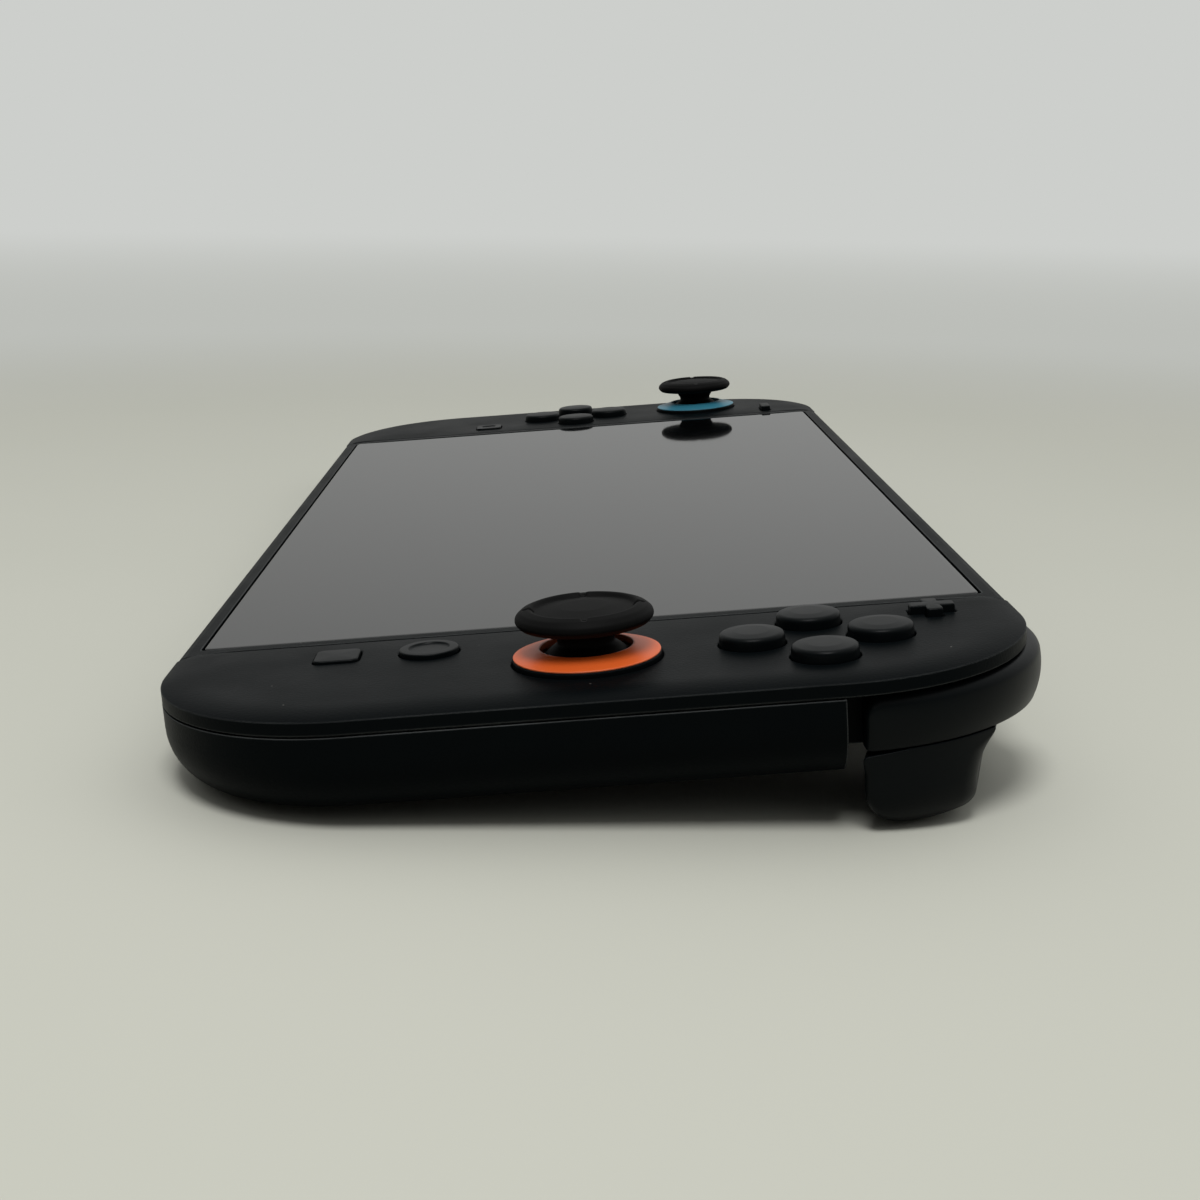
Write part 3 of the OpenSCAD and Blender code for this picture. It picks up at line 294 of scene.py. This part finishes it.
# stick cap: a fat rubber rim round a shallow dish, on a slim neck over a dome, with four notches in the rim
capLook = {
    "foot": [(0, -6.0), (3.4, -6.0), (3.4, -3.2), (1.8, -3.2), (1.8, -0.9), (6.45, -0.9)],
    "dome": (7.8, -4.6, 30.5, 60.0),  # radius, height of its middle, from and to degrees
    "neck": [(3.75, 2.4, 0.3), (3.75, 3.0, 0.6), (4.5, 4.15, 0.8), (8.45, 4.75, 0.8), (9.1, 5.5, 0.8)],
    "rim": [(8.95, 6.2, 0.8), (8.2, 6.85, 1.0), (7.05, 7.27, 0.6), (6.45, 6.65, 0.35), (5.9, 6.72, 0),
            (3.2, 7.08, 5.0), (0, 7.18, 0)],
    "notch": {"half": 0.36, "deep": 0.45, "from": 6.4, "to": 7.6, "above": 6.2, "easeIn": 0.3,
              "easeOut": 0.25, "radius": 7,
              "columns": (0.6, 0.9, 1.1, 1.35, 1.9)},  # extra columns off a notch's middle, in halves
}
domeR, domeZ, *domeSpan = capLook["dome"]
domeAngle = np.radians(np.linspace(*domeSpan, 14))
dome = np.stack((domeR * np.cos(domeAngle), domeZ + domeR * np.sin(domeAngle)), -1)
capProfile = np.concatenate((capLook["foot"], dome, rounded(
    [(*dome[-1], 0), *capLook["neck"], *capLook["rim"]], 8)[1:]))
notch = capLook["notch"]
beside = np.array(notch["columns"]) * notch["half"] / notch["radius"]
spread = np.concatenate((-beside, (0,), beside))
capAngle = np.unique(np.round(np.concatenate([np.linspace(0, 2 * math.pi, 97)] + [
    quarterTurn + spread for quarterTurn in np.linspace(0, 2 * math.pi, 5)]), 6))
capAngle = capAngle[(capAngle >= 0) & (capAngle <= round(2 * math.pi, 6))]
for side, sign in sides.items():
    cap = turned(capProfile, (0, 0), capAngle)
    radius = np.hypot(cap[..., 0], cap[..., 1])
    across = np.minimum(abs(cap[..., 0]), abs(cap[..., 1]))
    inNotch = 1 / (1 + (across / notch["half"]) ** 8) * (cap[..., 2] > notch["above"])
    inNotch = inNotch * np.clip((radius - notch["from"]) / notch["easeIn"], 0, 1)
    cap[..., 2] -= notch["deep"] * inNotch * np.clip((notch["to"] - radius) / notch["easeOut"], 0, 1)
    cap += (controller["stickX"], controller["stickY"][side], 0)
    capPiece = makePiece(side + "StickCap", side + "_stick", sideOf([cap], sign), 50)
    dress(capPiece, "stick_rubber", side + "_stick_cap")

# coloured ring: a shallow cone with a thin lip round the stick's opening, lying on a low black collar
ringLook = {"loop": [(6.1, 0.9, 0.05), (6.1, 1.8, 0.12), (6.35, 1.8, 0.1), (8.0, 1.26, 3.0), (9.4, 0.93, 0.2),
                     (9.66, 0.84, 0.06), (9.66, 0.66, 0.04), (8.9, 0.5, 0.05), (8.9, -2.2, 0.05),
                     (8.4, -2.2, 0.05), (8.4, 0.4, 0.2)],
            "collar": [(9.0, -1.2, 0), (9.0, 0.45, 0.1), (9.6, 0.74, 0.1), (9.76, 0.5, 0.12),
                       (9.86, -1.2, 0)],
            "hole": 9.95}
for side, sign in sides.items():
    middle = (controller["stickX"], controller["stickY"][side])
    ring = sideOf([turned(closedRound(ringLook["loop"], 5), middle)], sign)
    ringSlot = "orange_plastic" if side == "right" else "blue_plastic"
    dress(makePiece(side + "StickRing", side + "_controller", ring), ringSlot, side + "_stick_ring")
    collar = sideOf([turned(closedRound(ringLook["collar"], 5), middle)], sign)
    dress(makePiece(side + "RingCollar", side + "_controller", collar), "shell_black")
print("sticks: caps and rings")

# face buttons: low domes with a rounded shoulder over an upright side
buttonLook = {"profile": [(0, -8, 0), (1.5, -8, 0.1), (1.5, -2.4, 0), (4.85, -2.4, 0), (4.85, -1.8, 0),
                          (4.35, -1.8, 0), (4.35, 0.2, 0), (4.3, 1.52, 0.85), (2.3, 1.76, 4.0), (0, 1.8, 0)],
              "radius": 4.35,
              "places": {"outer": (1, 0), "top": (0, 1), "inner": (-1, 0), "bottom": (0, -1)}}
buttonProfile = rounded(buttonLook["profile"], 9)


def buttonMiddle(side, spot):
    alongX, alongY = buttonLook["places"][spot]
    return np.array((controller["buttonX"] + controller["clusterR"] * alongX,
                     controller["clusterY"][side] + controller["clusterR"] * alongY))


for side, sign in sides.items():
    for spot in buttonLook["places"]:
        button = makePiece(side + "Button" + spot.capitalize(), side + "_key_" + spot,
                           sideOf([turned(buttonProfile, buttonMiddle(side, spot))], sign), 45)
        dress(button, "button_black", side + "_button_" + spot)


def prism(outline, levels, middle):
    # closed outline (points, 2) stacked at levels (inset towards the middle, height), filled at both ends
    inward = -outline / np.linalg.norm(outline, axis=1, keepdims=True)
    grid = np.stack([atHeight(outline + inward * inset + middle, height) for inset, height in levels])
    return [grid, fan(grid[0]), fan(grid[-1])]


def softLevels(low, top, edge):  # an upright side with a quarter-round upper edge
    return [(0, low)] + [(edge * (1 - math.cos(t)), top - edge * (1 - math.sin(t)))
                         for t in np.linspace(0, math.pi / 2, 6)]


# plus and minus: bars with softened edges; home: a disc with a raised ring; two square keys
barLook = {"middle": (107.0, 46.3), "half": 3.05, "width": 1.05, "low": -2.5, "top": 1.1, "edge": 0.28,
           "endR": 0.3, "innerR": 0.12}


def crossCorners(grow=0.0):
    h, w = barLook["half"] + grow, barLook["width"] + grow
    arm = [(h, -w, barLook["endR"]), (h, w, barLook["endR"]), (w, w, barLook["innerR"])]
    quarters = ((1, 0), (0, 1), (-1, 0), (0, -1))
    return [(x * c - y * s, x * s + y * c, r) for c, s in quarters for x, y, r in arm]


def barCorners(grow=0.0):
    h, w = barLook["half"] + grow, barLook["width"] + grow
    return [(x, y, barLook["endR"]) for x, y in ((h, -w), (h, w), (-h, w), (-h, -w))]


for name, body, node, corners, sign in (("plusButton", "plus_key", "plus_button", crossCorners(), 1),
                                        ("minusButton", "minus_key", "minus_button", barCorners(), -1)):
    levels = softLevels(barLook["low"], barLook["top"], barLook["edge"])
    bar = makePiece(name, body, sideOf(prism(closedRound(corners, 5), levels, barLook["middle"]), sign), 45)
    dress(bar, "button_black", node)
homeLook = {"middle": (109.0, -22.1), "radius": 4.0, "profile": [
    (0, -2.6, 0), (4.6, -2.6, 0.05), (4.6, -1.8, 0.05), (4.0, -1.8, 0.05), (4.0, 0.62, 0.22),
    (2.85, 0.66, 0.15), (2.65, 0.42, 0.15), (0, 0.45, 0)]}
home = makePiece("homeButton", "home_key", [turned(rounded(homeLook["profile"], 6), homeLook["middle"])], 45)
dress(home, "button_black", "home_button")
squareLook = {"half": 3.0, "corner": 1.2, "low": -2.3, "top": 0.38, "edge": 0.25, "dishR": 1.9, "dish": 0.2,
              "middle": {"right": (108.5, -34.6), "left": (109.0, -22.9)}}


def squareCorners(grow=0.0):
    half, corner = squareLook["half"] + grow, squareLook["corner"] + grow
    return [(half, -half, corner), (half, half, corner), (-half, half, corner), (-half, -half, corner)]


squareOutline = closedRound(squareCorners(), 12)
circle = squareOutline / np.linalg.norm(squareOutline, axis=1, keepdims=True) * squareLook["dishR"]
for side, name, body, node in (("right", "chatButton", "chat_key", "chat_button"),
                               ("left", "captureButton", "capture_key", "capture_button")):
    middle, top = squareLook["middle"][side], squareLook["top"]
    patches = prism(squareOutline, softLevels(squareLook["low"], top, squareLook["edge"]), middle)
    if side == "left":  # this one has a round dish
        dishRows = [atHeight(circle * share + middle, top - squareLook["dish"] * deep)
                    for share, deep in ((1, 0), (0.97, 0.15), (0.93, 0.6), (0.86, 1))]
        dishGrid = np.stack([patches[0][-1]] + dishRows)
        patches = [patches[0], patches[1], dishGrid, fan(dishGrid[-1])]
    dress(makePiece(name, body, sideOf(patches, sides[side]), 45), "button_black", node)
print("buttons: clusters, plus, minus, home, chat and capture")

# front shell: a flat face that falls away softly to a crisp crease, with a low upright band below it, a
# rounded edge along the rail and a small lip at every opening; triangles fill the flat part between these
shellLook = {"inner": 101.35, "railEdge": 0.55, "half": (136.0, 57.97), "corner": 27.0, "fallFrom": 5.2,
             "fall": 0.8, "power": 2.5, "start": 1.6, "insets": (2.3, 3.2, 4.2, 5.2, 5.6), "creaseFrom": 0.55,
             "crease": 0.12, "under": -1.7, "seam": -2.6, "seamCut": 0.1, "lip": 0.22, "lipFlat": 0.15,
             "gap": 0.2}


def edgePath(inset):
    # from the rail along the lower edge, round the outer corners and back along the upper edge
    look, arc = shellLook, np.radians(np.linspace(0, 90, 46))[:, None]
    middleX, middleY = (half - look["corner"] for half in look["half"])
    radius = look["corner"] - inset
    lower = np.hstack((middleX + radius * np.sin(arc), -middleY - radius * np.cos(arc)))
    side = np.column_stack((np.full(14, look["half"][0] - inset), np.linspace(-middleY, middleY, 16)[1:-1]))
    run = np.linspace(look["inner"], middleX, 5)[:-1]
    foot = np.column_stack((run, np.full(4, inset - look["half"][1])))
    return np.concatenate((foot, lower, side, lower[::-1] * (1, -1), foot[::-1] * (1, -1)))


def fallAt(inset):  # height of the face at a distance from its edge
    share = np.clip(1 - np.asarray(inset, float) / shellLook["fallFrom"], 0, 1)
    return -shellLook["fall"] * share ** shellLook["power"]


def insetAt(points):  # distance of a point of the face from the outer edge
    past = np.abs(points) - np.array(shellLook["half"]) + shellLook["corner"]
    fromCorner = np.linalg.norm(np.maximum(past, 0), axis=1)
    return shellLook["corner"] - np.where((past > 0).all(1), fromCorner, past.max(1))


def openings(side):
    # each opening as a function from an offset to its closed outline
    gap, angle = shellLook["gap"], np.linspace(0, 2 * math.pi, 73)[:, None]
    disc = np.hstack((np.cos(angle), np.sin(angle)))
    stick = np.array((controller["stickX"], controller["stickY"][side]))
    found = [lambda grow: stick + disc * (ringLook["hole"] + grow)]
    for spot in buttonLook["places"]:
        middle = buttonMiddle(side, spot)
        found.append(lambda grow, middle=middle: middle + disc * (buttonLook["radius"] + gap + grow))
    bars = crossCorners if side == "right" else barCorners
    found.append(lambda grow: barLook["middle"] + closedRound(bars(gap + grow), 5))
    if side == "right":
        found.append(lambda grow: homeLook["middle"] + disc * (homeLook["radius"] + gap + grow))
    found.append(lambda grow: squareLook["middle"][side] + closedRound(squareCorners(gap + grow), 12))
    return found


def shellPatches(side):
    look = shellLook
    soft, cut, under = look["creaseFrom"], look["seamCut"], look["under"]
    steps = np.linspace(look["start"], soft, 8)
    crease = rounded([(soft, fallAt(soft), 0), (0, fallAt(0), look["crease"]), (0, look["seam"] + cut, 0),
                      (cut, look["seam"], 0), (look["start"], look["seam"], 0), (look["start"], under, 0)], 8)
    profile = np.concatenate((np.column_stack((steps, fallAt(steps))), crease[1:]))
    strip = np.stack([atHeight(edgePath(inset), height) for inset, height in profile])
    patches = [strip, endFan(strip, 0), endFan(strip, -1)]
    points, lines = [], []

    def addLine(line, closed):
        start = sum(len(part) for part in points)
        points.append(line)
        ends = start + np.arange(len(line))
        lines.append(np.column_stack((ends, np.roll(ends, -1)))[:None if closed else -1])

    for inset in (look["start"], *look["insets"]):
        addLine(edgePath(inset), False)
    railY = look["half"][1] - np.array((look["start"], *look["insets"]))
    railY = np.concatenate((railY, np.linspace(railY[-1], -railY[-1], 30)[1:-1], -railY[::-1]))
    rail = np.column_stack((np.full(len(railY), look["inner"]), railY))
    addLine(rail, False)
    holes = openings(side)
    for hole in holes:  # the second line keeps the shading of the flat part clear of the lip
        addLine(hole(look["lip"])[:-1], True)
        addLine(hole(look["lip"] + look["lipFlat"])[:-1], True)
    flat = np.round(np.concatenate(points), 5)
    outer = [list(range(len(edgePath(0))))]
    vertices, _, faces, *_ = geometry.delaunay_2d_cdt(
        flat.tolist(), np.concatenate(lines).tolist(), outer, 1, 1e-4)
    plan, triangles = np.array([tuple(v) for v in vertices]), np.array(faces)
    middle = plan[triangles].mean(1)
    keep = np.ones(len(triangles), bool)
    for hole in holes:  # a triangle is in an opening when the outline turns once about its middle
        loop = hole(look["lip"])
        a, b = loop[:-1, None] - middle, loop[1:, None] - middle
        turns = np.arctan2(a[..., 0] * b[..., 1] - a[..., 1] * b[..., 0], (a * b).sum(-1)).sum(0)
        keep &= np.abs(turns) < math.pi
    triangles = triangles[keep]
    patches += [(atHeight(plan, fallAt(insetAt(plan))), triangles), (atHeight(plan, under), triangles)]

    bend = np.linspace(0, math.pi / 2, 6)
    railRows = [atHeight(rail - (look["railEdge"] * math.sin(t), 0),
                         fallAt(insetAt(rail)) - look["railEdge"] * (1 - math.cos(t))) for t in bend]
    railRows += [atHeight(rail - (out, 0), under) for out in (look["railEdge"], 0)]
    railGrid = np.stack(railRows)
    patches += [railGrid, endFan(railGrid, 0), endFan(railGrid, -1)]
    for hole in holes:
        height = fallAt(insetAt(hole(look["lip"])))
        rows = [atHeight(hole(look["lip"] * (1 - math.sin(t))), height - look["lip"] * (1 - math.cos(t)))
                for t in np.linspace(0, math.pi / 2, 5)]
        patches.append(np.stack(rows + [atHeight(hole(grow), under) for grow in (0, look["lip"])]))
    return patches


for side, sign in sides.items():
    shell = makePiece(side + "FrontShell", side + "_controller", sideOf(shellPatches(side), sign), 30)
    dress(shell, "shell_black", side + "_front_shell")
print("front shells")

# shoulder button: a bulging bar carried round the upper corner, its ends and edges rounded
shoulderLook = {"centre": (107.0, 32.0), "out": 28.294, "inner": 24.8, "bulge": 10.0, "middle": -6.0,
                "low": -10.25, "high": -3.0, "from": 1.5, "to": 97.0, "topEdge": 1.5, "lowEdge": 0.15,
                "topCorner": 2.3, "lowCorner": 0.3, "endEdge": 0.9}


def shoulderPatches(look):
    length = math.radians(look["to"] - look["from"]) * look["out"]
    nearEnd = look["topCorner"] * (1 - np.cos(np.linspace(0, math.pi / 2, 12)))
    along = np.concatenate((nearEnd, np.linspace(look["topCorner"], length - look["topCorner"], 66)[1:-1],
                            length - nearEnd[::-1]))
    fromEnd = np.minimum(along, length - along)[:, None]
    low = look["low"] + quarter(look["lowCorner"], fromEnd)
    high = look["high"] - quarter(look["topCorner"], fromEnd)
    z = low + (high - low) * (1 - np.cos(np.linspace(0, math.pi, 41))) / 2
    bulge = look["bulge"] - np.sqrt(look["bulge"] ** 2 - (z - look["middle"]) ** 2)
    r = look["out"] - bulge - quarter(look["topEdge"], high - z) - quarter(look["lowEdge"], z - low)
    r = r - quarter(look["endEdge"], fromEnd)
    inside = np.full((len(along), 5), look["inner"])
    insideZ = high + (low - high) * np.linspace(0, 1, 5)
    r, z = np.concatenate((r, inside, r[:, :1]), 1), np.concatenate((z, insideZ, z[:, :1]), 1)
    angle = math.radians(look["from"]) + along[:, None] / look["out"]
    grid = np.stack((look["centre"][0] + r * np.cos(angle), look["centre"][1] + r * np.sin(angle), z), -1)
    return [grid, fan(grid[0]), fan(grid[-1])]


# trigger: its section across the hinge line (back, round underside, lip, hollow for the finger, flat top)
# reaches outwards until it meets the shoulder's round wall, where the edge is rounded and the face is closed
triggerLook = {"start": (106.5, 46.0), "turn": 15.7, "wall": ((107.0, 32.0), 27.42), "inner": 107.5,
               "lowR": 5.8, "lowZ": -15.9, "lowArc": (180, 284), "lip": (4.7, -18.1, 2.5), "lipArc": (285, 358),
               "hollow": (18.7, -18.0, 11.5), "hollowFrom": -17.8, "hollowEnd": 0.4, "front": 9.8,
               "top": -10.4, "back": -10.9, "backCut": (0.4, 0.3), "middle": (0.5, -14.8), "endR": 6.0,
               "endZ": -15.7, "edge": 1.5, "topEdge": 0.12, "edgeFrom": -11.2, "edgeGrow": 2.0,
               "innerEdge": 0.6, "soft": 0.45}


def triggerLoop(look):
    # the section as one line, walked in even steps and softened by a bell-shaped running mean
    lowR, lowZ, top, back = (look[key] for key in ("lowR", "lowZ", "top", "back"))
    (lipY, lipZ, lipR), (hollowY, hollowZ, hollowR) = look["lip"], look["hollow"]
    arc = np.radians(np.linspace(*look["lowArc"], 30))[:, None]
    lipArc = np.radians(np.linspace(*look["lipArc"], 16))[:, None]
    z = np.linspace(look["hollowFrom"], top - look["hollowEnd"], 24)[:, None]
    cutY, cutZ = look["backCut"]
    line = np.concatenate((
        [(-lowR, back - cutZ)],
        np.hstack((lowR * np.cos(arc), lowZ + lowR * np.sin(arc))),
        np.hstack((lipY + lipR * np.cos(lipArc), lipZ + lipR * np.sin(lipArc))),
        np.hstack((hollowY - np.sqrt(hollowR**2 - (z - hollowZ) ** 2), z)),
        [(look["front"], top), (0, top), (-lowR + cutY, back), (-lowR, back - cutZ)]))
    run = np.concatenate(((0,), np.cumsum(np.linalg.norm(np.diff(line, axis=0), axis=1))))
    steps, reach = 360, np.arange(-12, 13)
    even = np.linspace(0, run[-1], steps + 1)[:-1]
    loop = np.stack([np.interp(even, run, axis) for axis in line.T], -1)
    weight = np.exp(-(reach * run[-1] / steps / look["soft"]) ** 2)
    loop = sum(share * np.roll(loop, k, axis=0) for k, share in zip(reach, weight / weight.sum()))
    return loop[::2]


def triggerPatches(look):
    loop = triggerLoop(look)
    turnAngle = math.radians(look["turn"])
    cosine, sine = math.cos(turnAngle), math.sin(turnAngle)
    (wallX, wallY), wallR = look["wall"]
    offX, offY = wallX - look["start"][0], wallY - look["start"][1]
    centreX, centreY = offX * cosine - offY * sine, offX * sine + offY * cosine

    def outer(line):  # where the line along the hinge meets the shoulder's wall, drawn in towards the tip
        meet = centreX + np.sqrt(np.maximum(wallR**2 - (line[:, 0] - centreY) ** 2, 0.01))
        below = np.clip(look["endZ"] - line[:, 1], 0, look["endR"])
        return meet - quarter(look["endR"], look["endR"] - below)

    along = np.roll(loop, -1, axis=0) - np.roll(loop, 1, axis=0)
    inward = np.stack((-along[:, 1], along[:, 0]), -1) / np.linalg.norm(along, axis=1, keepdims=True)
    middle = np.array(look["middle"])
    inward *= np.sign(np.sum(inward * (middle - loop), axis=1).mean())
    grown = np.clip((look["edgeFrom"] - loop[:, 1]) / look["edgeGrow"], 0, 1)
    edge = look["topEdge"] + (look["edge"] - look["topEdge"]) * grown
    innerEdge = edge * look["innerEdge"]
    first = (look["inner"] - look["start"][0] - sine * loop[:, 0]) / cosine
    last = outer(loop) - edge
    rows = []
    for t in np.linspace(math.pi / 2, 0, 7)[:-1]:
        pulled = loop + inward * (innerEdge * (1 - math.cos(t)))[:, None]
        rows.append((pulled, first + innerEdge * (1 - math.sin(t))))
    for t in np.linspace(0, 1, 30):
        rows.append((loop, first + innerEdge + t * np.maximum(last - first - innerEdge, 0.1)))
    for t in np.linspace(0, math.pi / 2, 9)[1:]:
        pulled = loop + inward * (edge * (1 - math.cos(t)))[:, None]
        rows.append((pulled, outer(pulled) - edge * (1 - math.sin(t))))
    rim = rows[-1][0]
    for share in np.linspace(1, 0, 12)[1:]:
        inner = middle + (rim - middle) * share
        rows.append((inner, outer(inner)))
    across = np.stack([row[0] for row in rows])
    reach = np.stack([row[1] for row in rows])
    x = look["start"][0] + reach * cosine + across[..., 0] * sine
    y = look["start"][1] - reach * sine + across[..., 0] * cosine
    grid = np.stack((x, y, across[..., 1]), -1)
    grid = np.concatenate((grid, grid[:, :1]), 1)
    return [grid, fan(grid[0])]


for side, sign in sides.items():
    shoulder = makePiece(side + "Shoulder", side + "_bumper", sideOf(shoulderPatches(shoulderLook), sign), 60)
    dress(shoulder, "button_black", side + "_shoulder")
    lever = sideOf(triggerPatches(triggerLook), sign)
    trigger = makePiece(side + "Trigger", side + "_trigger_lever", lever, 60)
    dress(trigger, "button_black", side + "_trigger")
print("shoulders and triggers")

# cover glass: a slab with a narrow polished edge; a last row keeps the edge's shading off the flat face
glassLook = {"half": (98.28, 54.78), "corner": 1.2, "low": -1.2, "top": -0.1, "edge": 0.3, "flatFrom": 0.8}
glassX, glassY = glassLook["half"]
glassOutline = closedRound([(x, y, glassLook["corner"]) for x, y in (
    (glassX, -glassY), (glassX, glassY), (-glassX, glassY), (-glassX, -glassY))], 8)
glassLevels = softLevels(glassLook["low"], glassLook["top"], glassLook["edge"])
glassGrid = np.stack([
    atHeight(glassOutline * ((np.array(glassLook["half"]) - inset) / glassLook["half"]), height)
    for inset, height in glassLevels + [(glassLook["flatFrom"], glassLook["top"])]])
glass = makePiece("coverGlass", "console", [glassGrid, fan(glassGrid[0]), fan(glassGrid[-1])], 20)
dress(glass, "cover_glass", "display_glass")
print("cover glass")

# spot in level millimetres; right and down are the picture's own directions in the level frame
cameraView = {
    "lens": 54.806, "sensor": 36, "near": 0.01, "spot": (347.79466, 1.08049, 62.16566),
    "right": (0.01832712, 0.99727304, -0.07148849), "down": (0.23048746, -0.07378878, -0.97027354),
}
right, down = (turn @ cameraView[key] for key in ("right", "down"))
camera = bpy.data.objects.new("camera", bpy.data.cameras.new("camera"))
camera.data.lens, camera.data.sensor_width = cameraView["lens"], cameraView["sensor"]
camera.data.clip_start = cameraView["near"]
camera.matrix_world = Matrix.Translation(place(cameraView["spot"])) @ Matrix(
    np.column_stack((right, -down, np.cross(right, -down))).tolist()).to_4x4()
bpy.context.scene.collection.objects.link(camera)
bpy.context.scene.camera = camera

# floor: a wide disc of rings, a hair under the frame's zero height; far away it glows as the pale wall, with a
# band of painted shade where the wall meets the floor
stageLook = {"level": -0.00004, "radius": 3.0, "rings": 40, "steps": 96, "floor": "#bfc0b5",
             "second": "#c3c3b9", "cloud": 9.0, "rough": 0.7, "specular": 0.15, "wallFootShade": "#bcbeb9",
             "wall": "#cdcfcc", "fade": (0.25, 0.6), "rise": (0.6, 2.0)}
reach = np.linspace(0, 1, stageLook["rings"]) ** 2 * stageLook["radius"]
discAngle = np.linspace(0, 2 * math.pi, stageLook["steps"] + 1)[:-1]
discX, discY = reach[1:, None] * np.cos(discAngle), reach[1:, None] * np.sin(discAngle)
disc = np.stack((discX, discY, np.full(discX.shape, stageLook["level"])), -1).reshape(-1, 3)
ringIndex = np.arange(len(disc)).reshape(stageLook["rings"] - 1, -1)
around = np.roll(ringIndex, -1, axis=1)
quads = np.stack((ringIndex[:-1], ringIndex[1:], around[1:], around[:-1]), -1).reshape(-1, 4).tolist()
floorMesh = bpy.data.meshes.new("floor")
floorMesh.from_pydata(disc.tolist(), [], quads + [ringIndex[0].tolist()])
floor = bpy.data.objects.new("floor", floorMesh)
bpy.context.scene.collection.objects.link(floor)

# painted table: matt and pale, faintly clouded
floorPaint = bpy.data.materials.new("paintedTable")
floorPaint.use_nodes = True
tree = floorPaint.node_tree
paint = tree.nodes["Principled BSDF"]
where = addNode(tree, "TexCoord", {}, {}).outputs["Object"]
cloud = addNode(tree, "TexNoise", {}, {"Vector": where, "Scale": stageLook["cloud"], "Detail": 5.0})
tone = addNode(tree, "Mix", {"data_type": "RGBA"},
               {0: cloud.outputs["Fac"], 6: linear(stageLook["floor"]), 7: linear(stageLook["second"])})
tree.links.new(tone.outputs[2], paint.inputs["Base Color"])
paint.inputs["Roughness"].default_value = stageLook["rough"]
paint.inputs["Specular IOR Level"].default_value = stageLook["specular"]
span = addNode(tree, "VectorMath", {"operation": "LENGTH"}, {0: where}).outputs["Value"]
fade, rise = (addNode(tree, "MapRange", {"interpolation_type": "SMOOTHSTEP"},
                      {"Value": span, "From Min": stageLook[key][0], "From Max": stageLook[key][1]})
              for key in ("fade", "rise"))
rays = addNode(tree, "LightPath", {}, {})
# the far glow runs from a slightly darker band of painted shade at the wall's foot up into the pale wall
farTone = addNode(tree, "Mix", {"data_type": "RGBA"},
                  {0: rise.outputs[0], 6: linear(stageLook["wallFootShade"]), 7: linear(stageLook["wall"])})
wallGlow = addNode(tree, "Emission", {}, {"Color": farTone.outputs[2], "Strength": 1.0})
seen = addNode(tree, "Math", {"operation": "MULTIPLY"},
               {0: fade.outputs[0], 1: rays.outputs["Is Camera Ray"]})
mixed = addNode(tree, "MixShader", {}, {0: seen.outputs[0], 1: paint.outputs[0], 2: wallGlow.outputs[0]})
tree.links.new(mixed.outputs[0], tree.nodes["Material Output"].inputs["Surface"])
floor.data.materials.append(floorPaint)

# a pale room: brightest overhead and behind the console, dim on the side that the camera looks from
roomLook = {"light": "#fbfcfa", "bright": 0.92, "dim": 0.08, "towards": (-0.4, 0.22, 0.89), "from": 0.0,
            "to": 1.0}
world = bpy.data.worlds.new("room")
bpy.context.scene.world = world
world.use_nodes = True
tree = world.node_tree
direction = addNode(tree, "TexCoord", {}, {}).outputs["Generated"]
lean = addNode(tree, "VectorMath", {"operation": "DOT_PRODUCT"}, {0: direction, 1: roomLook["towards"]})
level = addNode(tree, "MapRange", {},
                {"Value": lean.outputs["Value"], "From Min": roomLook["from"], "From Max": roomLook["to"],
                 "To Min": roomLook["dim"], "To Max": roomLook["bright"]})
rays = addNode(tree, "LightPath", {}, {})
lit = addNode(tree, "Background", {}, {"Color": linear(roomLook["light"]), "Strength": level.outputs[0]})
backdrop = addNode(tree, "Background", {}, {"Color": linear(stageLook["wall"]), "Strength": 1.0})
shown = addNode(tree, "MixShader", {},
                {0: rays.outputs["Is Camera Ray"], 1: lit.outputs[0], 2: backdrop.outputs[0]})
tree.links.new(shown.outputs[0], tree.nodes["World Output"].inputs["Surface"])

# a round softbox above the near end, turned to the middle of the console
lampLook = {"spot": (0.48, -0.06, 0.95), "size": 0.4, "power": 5.8}
lamp = bpy.data.objects.new("softbox", bpy.data.lights.new("softbox", "AREA"))
lamp.data.shape, lamp.data.size, lamp.data.energy = "DISK", lampLook["size"], lampLook["power"]
away = np.array(lampLook["spot"]) / np.linalg.norm(lampLook["spot"])
sideways = np.cross((0, 1, 0), away) / np.linalg.norm(np.cross((0, 1, 0), away))
lamp.matrix_world = Matrix.Translation(lampLook["spot"]) @ Matrix(
    np.column_stack((sideways, np.cross(away, sideways), away)).tolist()).to_4x4()
bpy.context.scene.collection.objects.link(lamp)
bpy.context.scene.view_settings.view_transform = "Standard"
print("camera, floor and light are set")
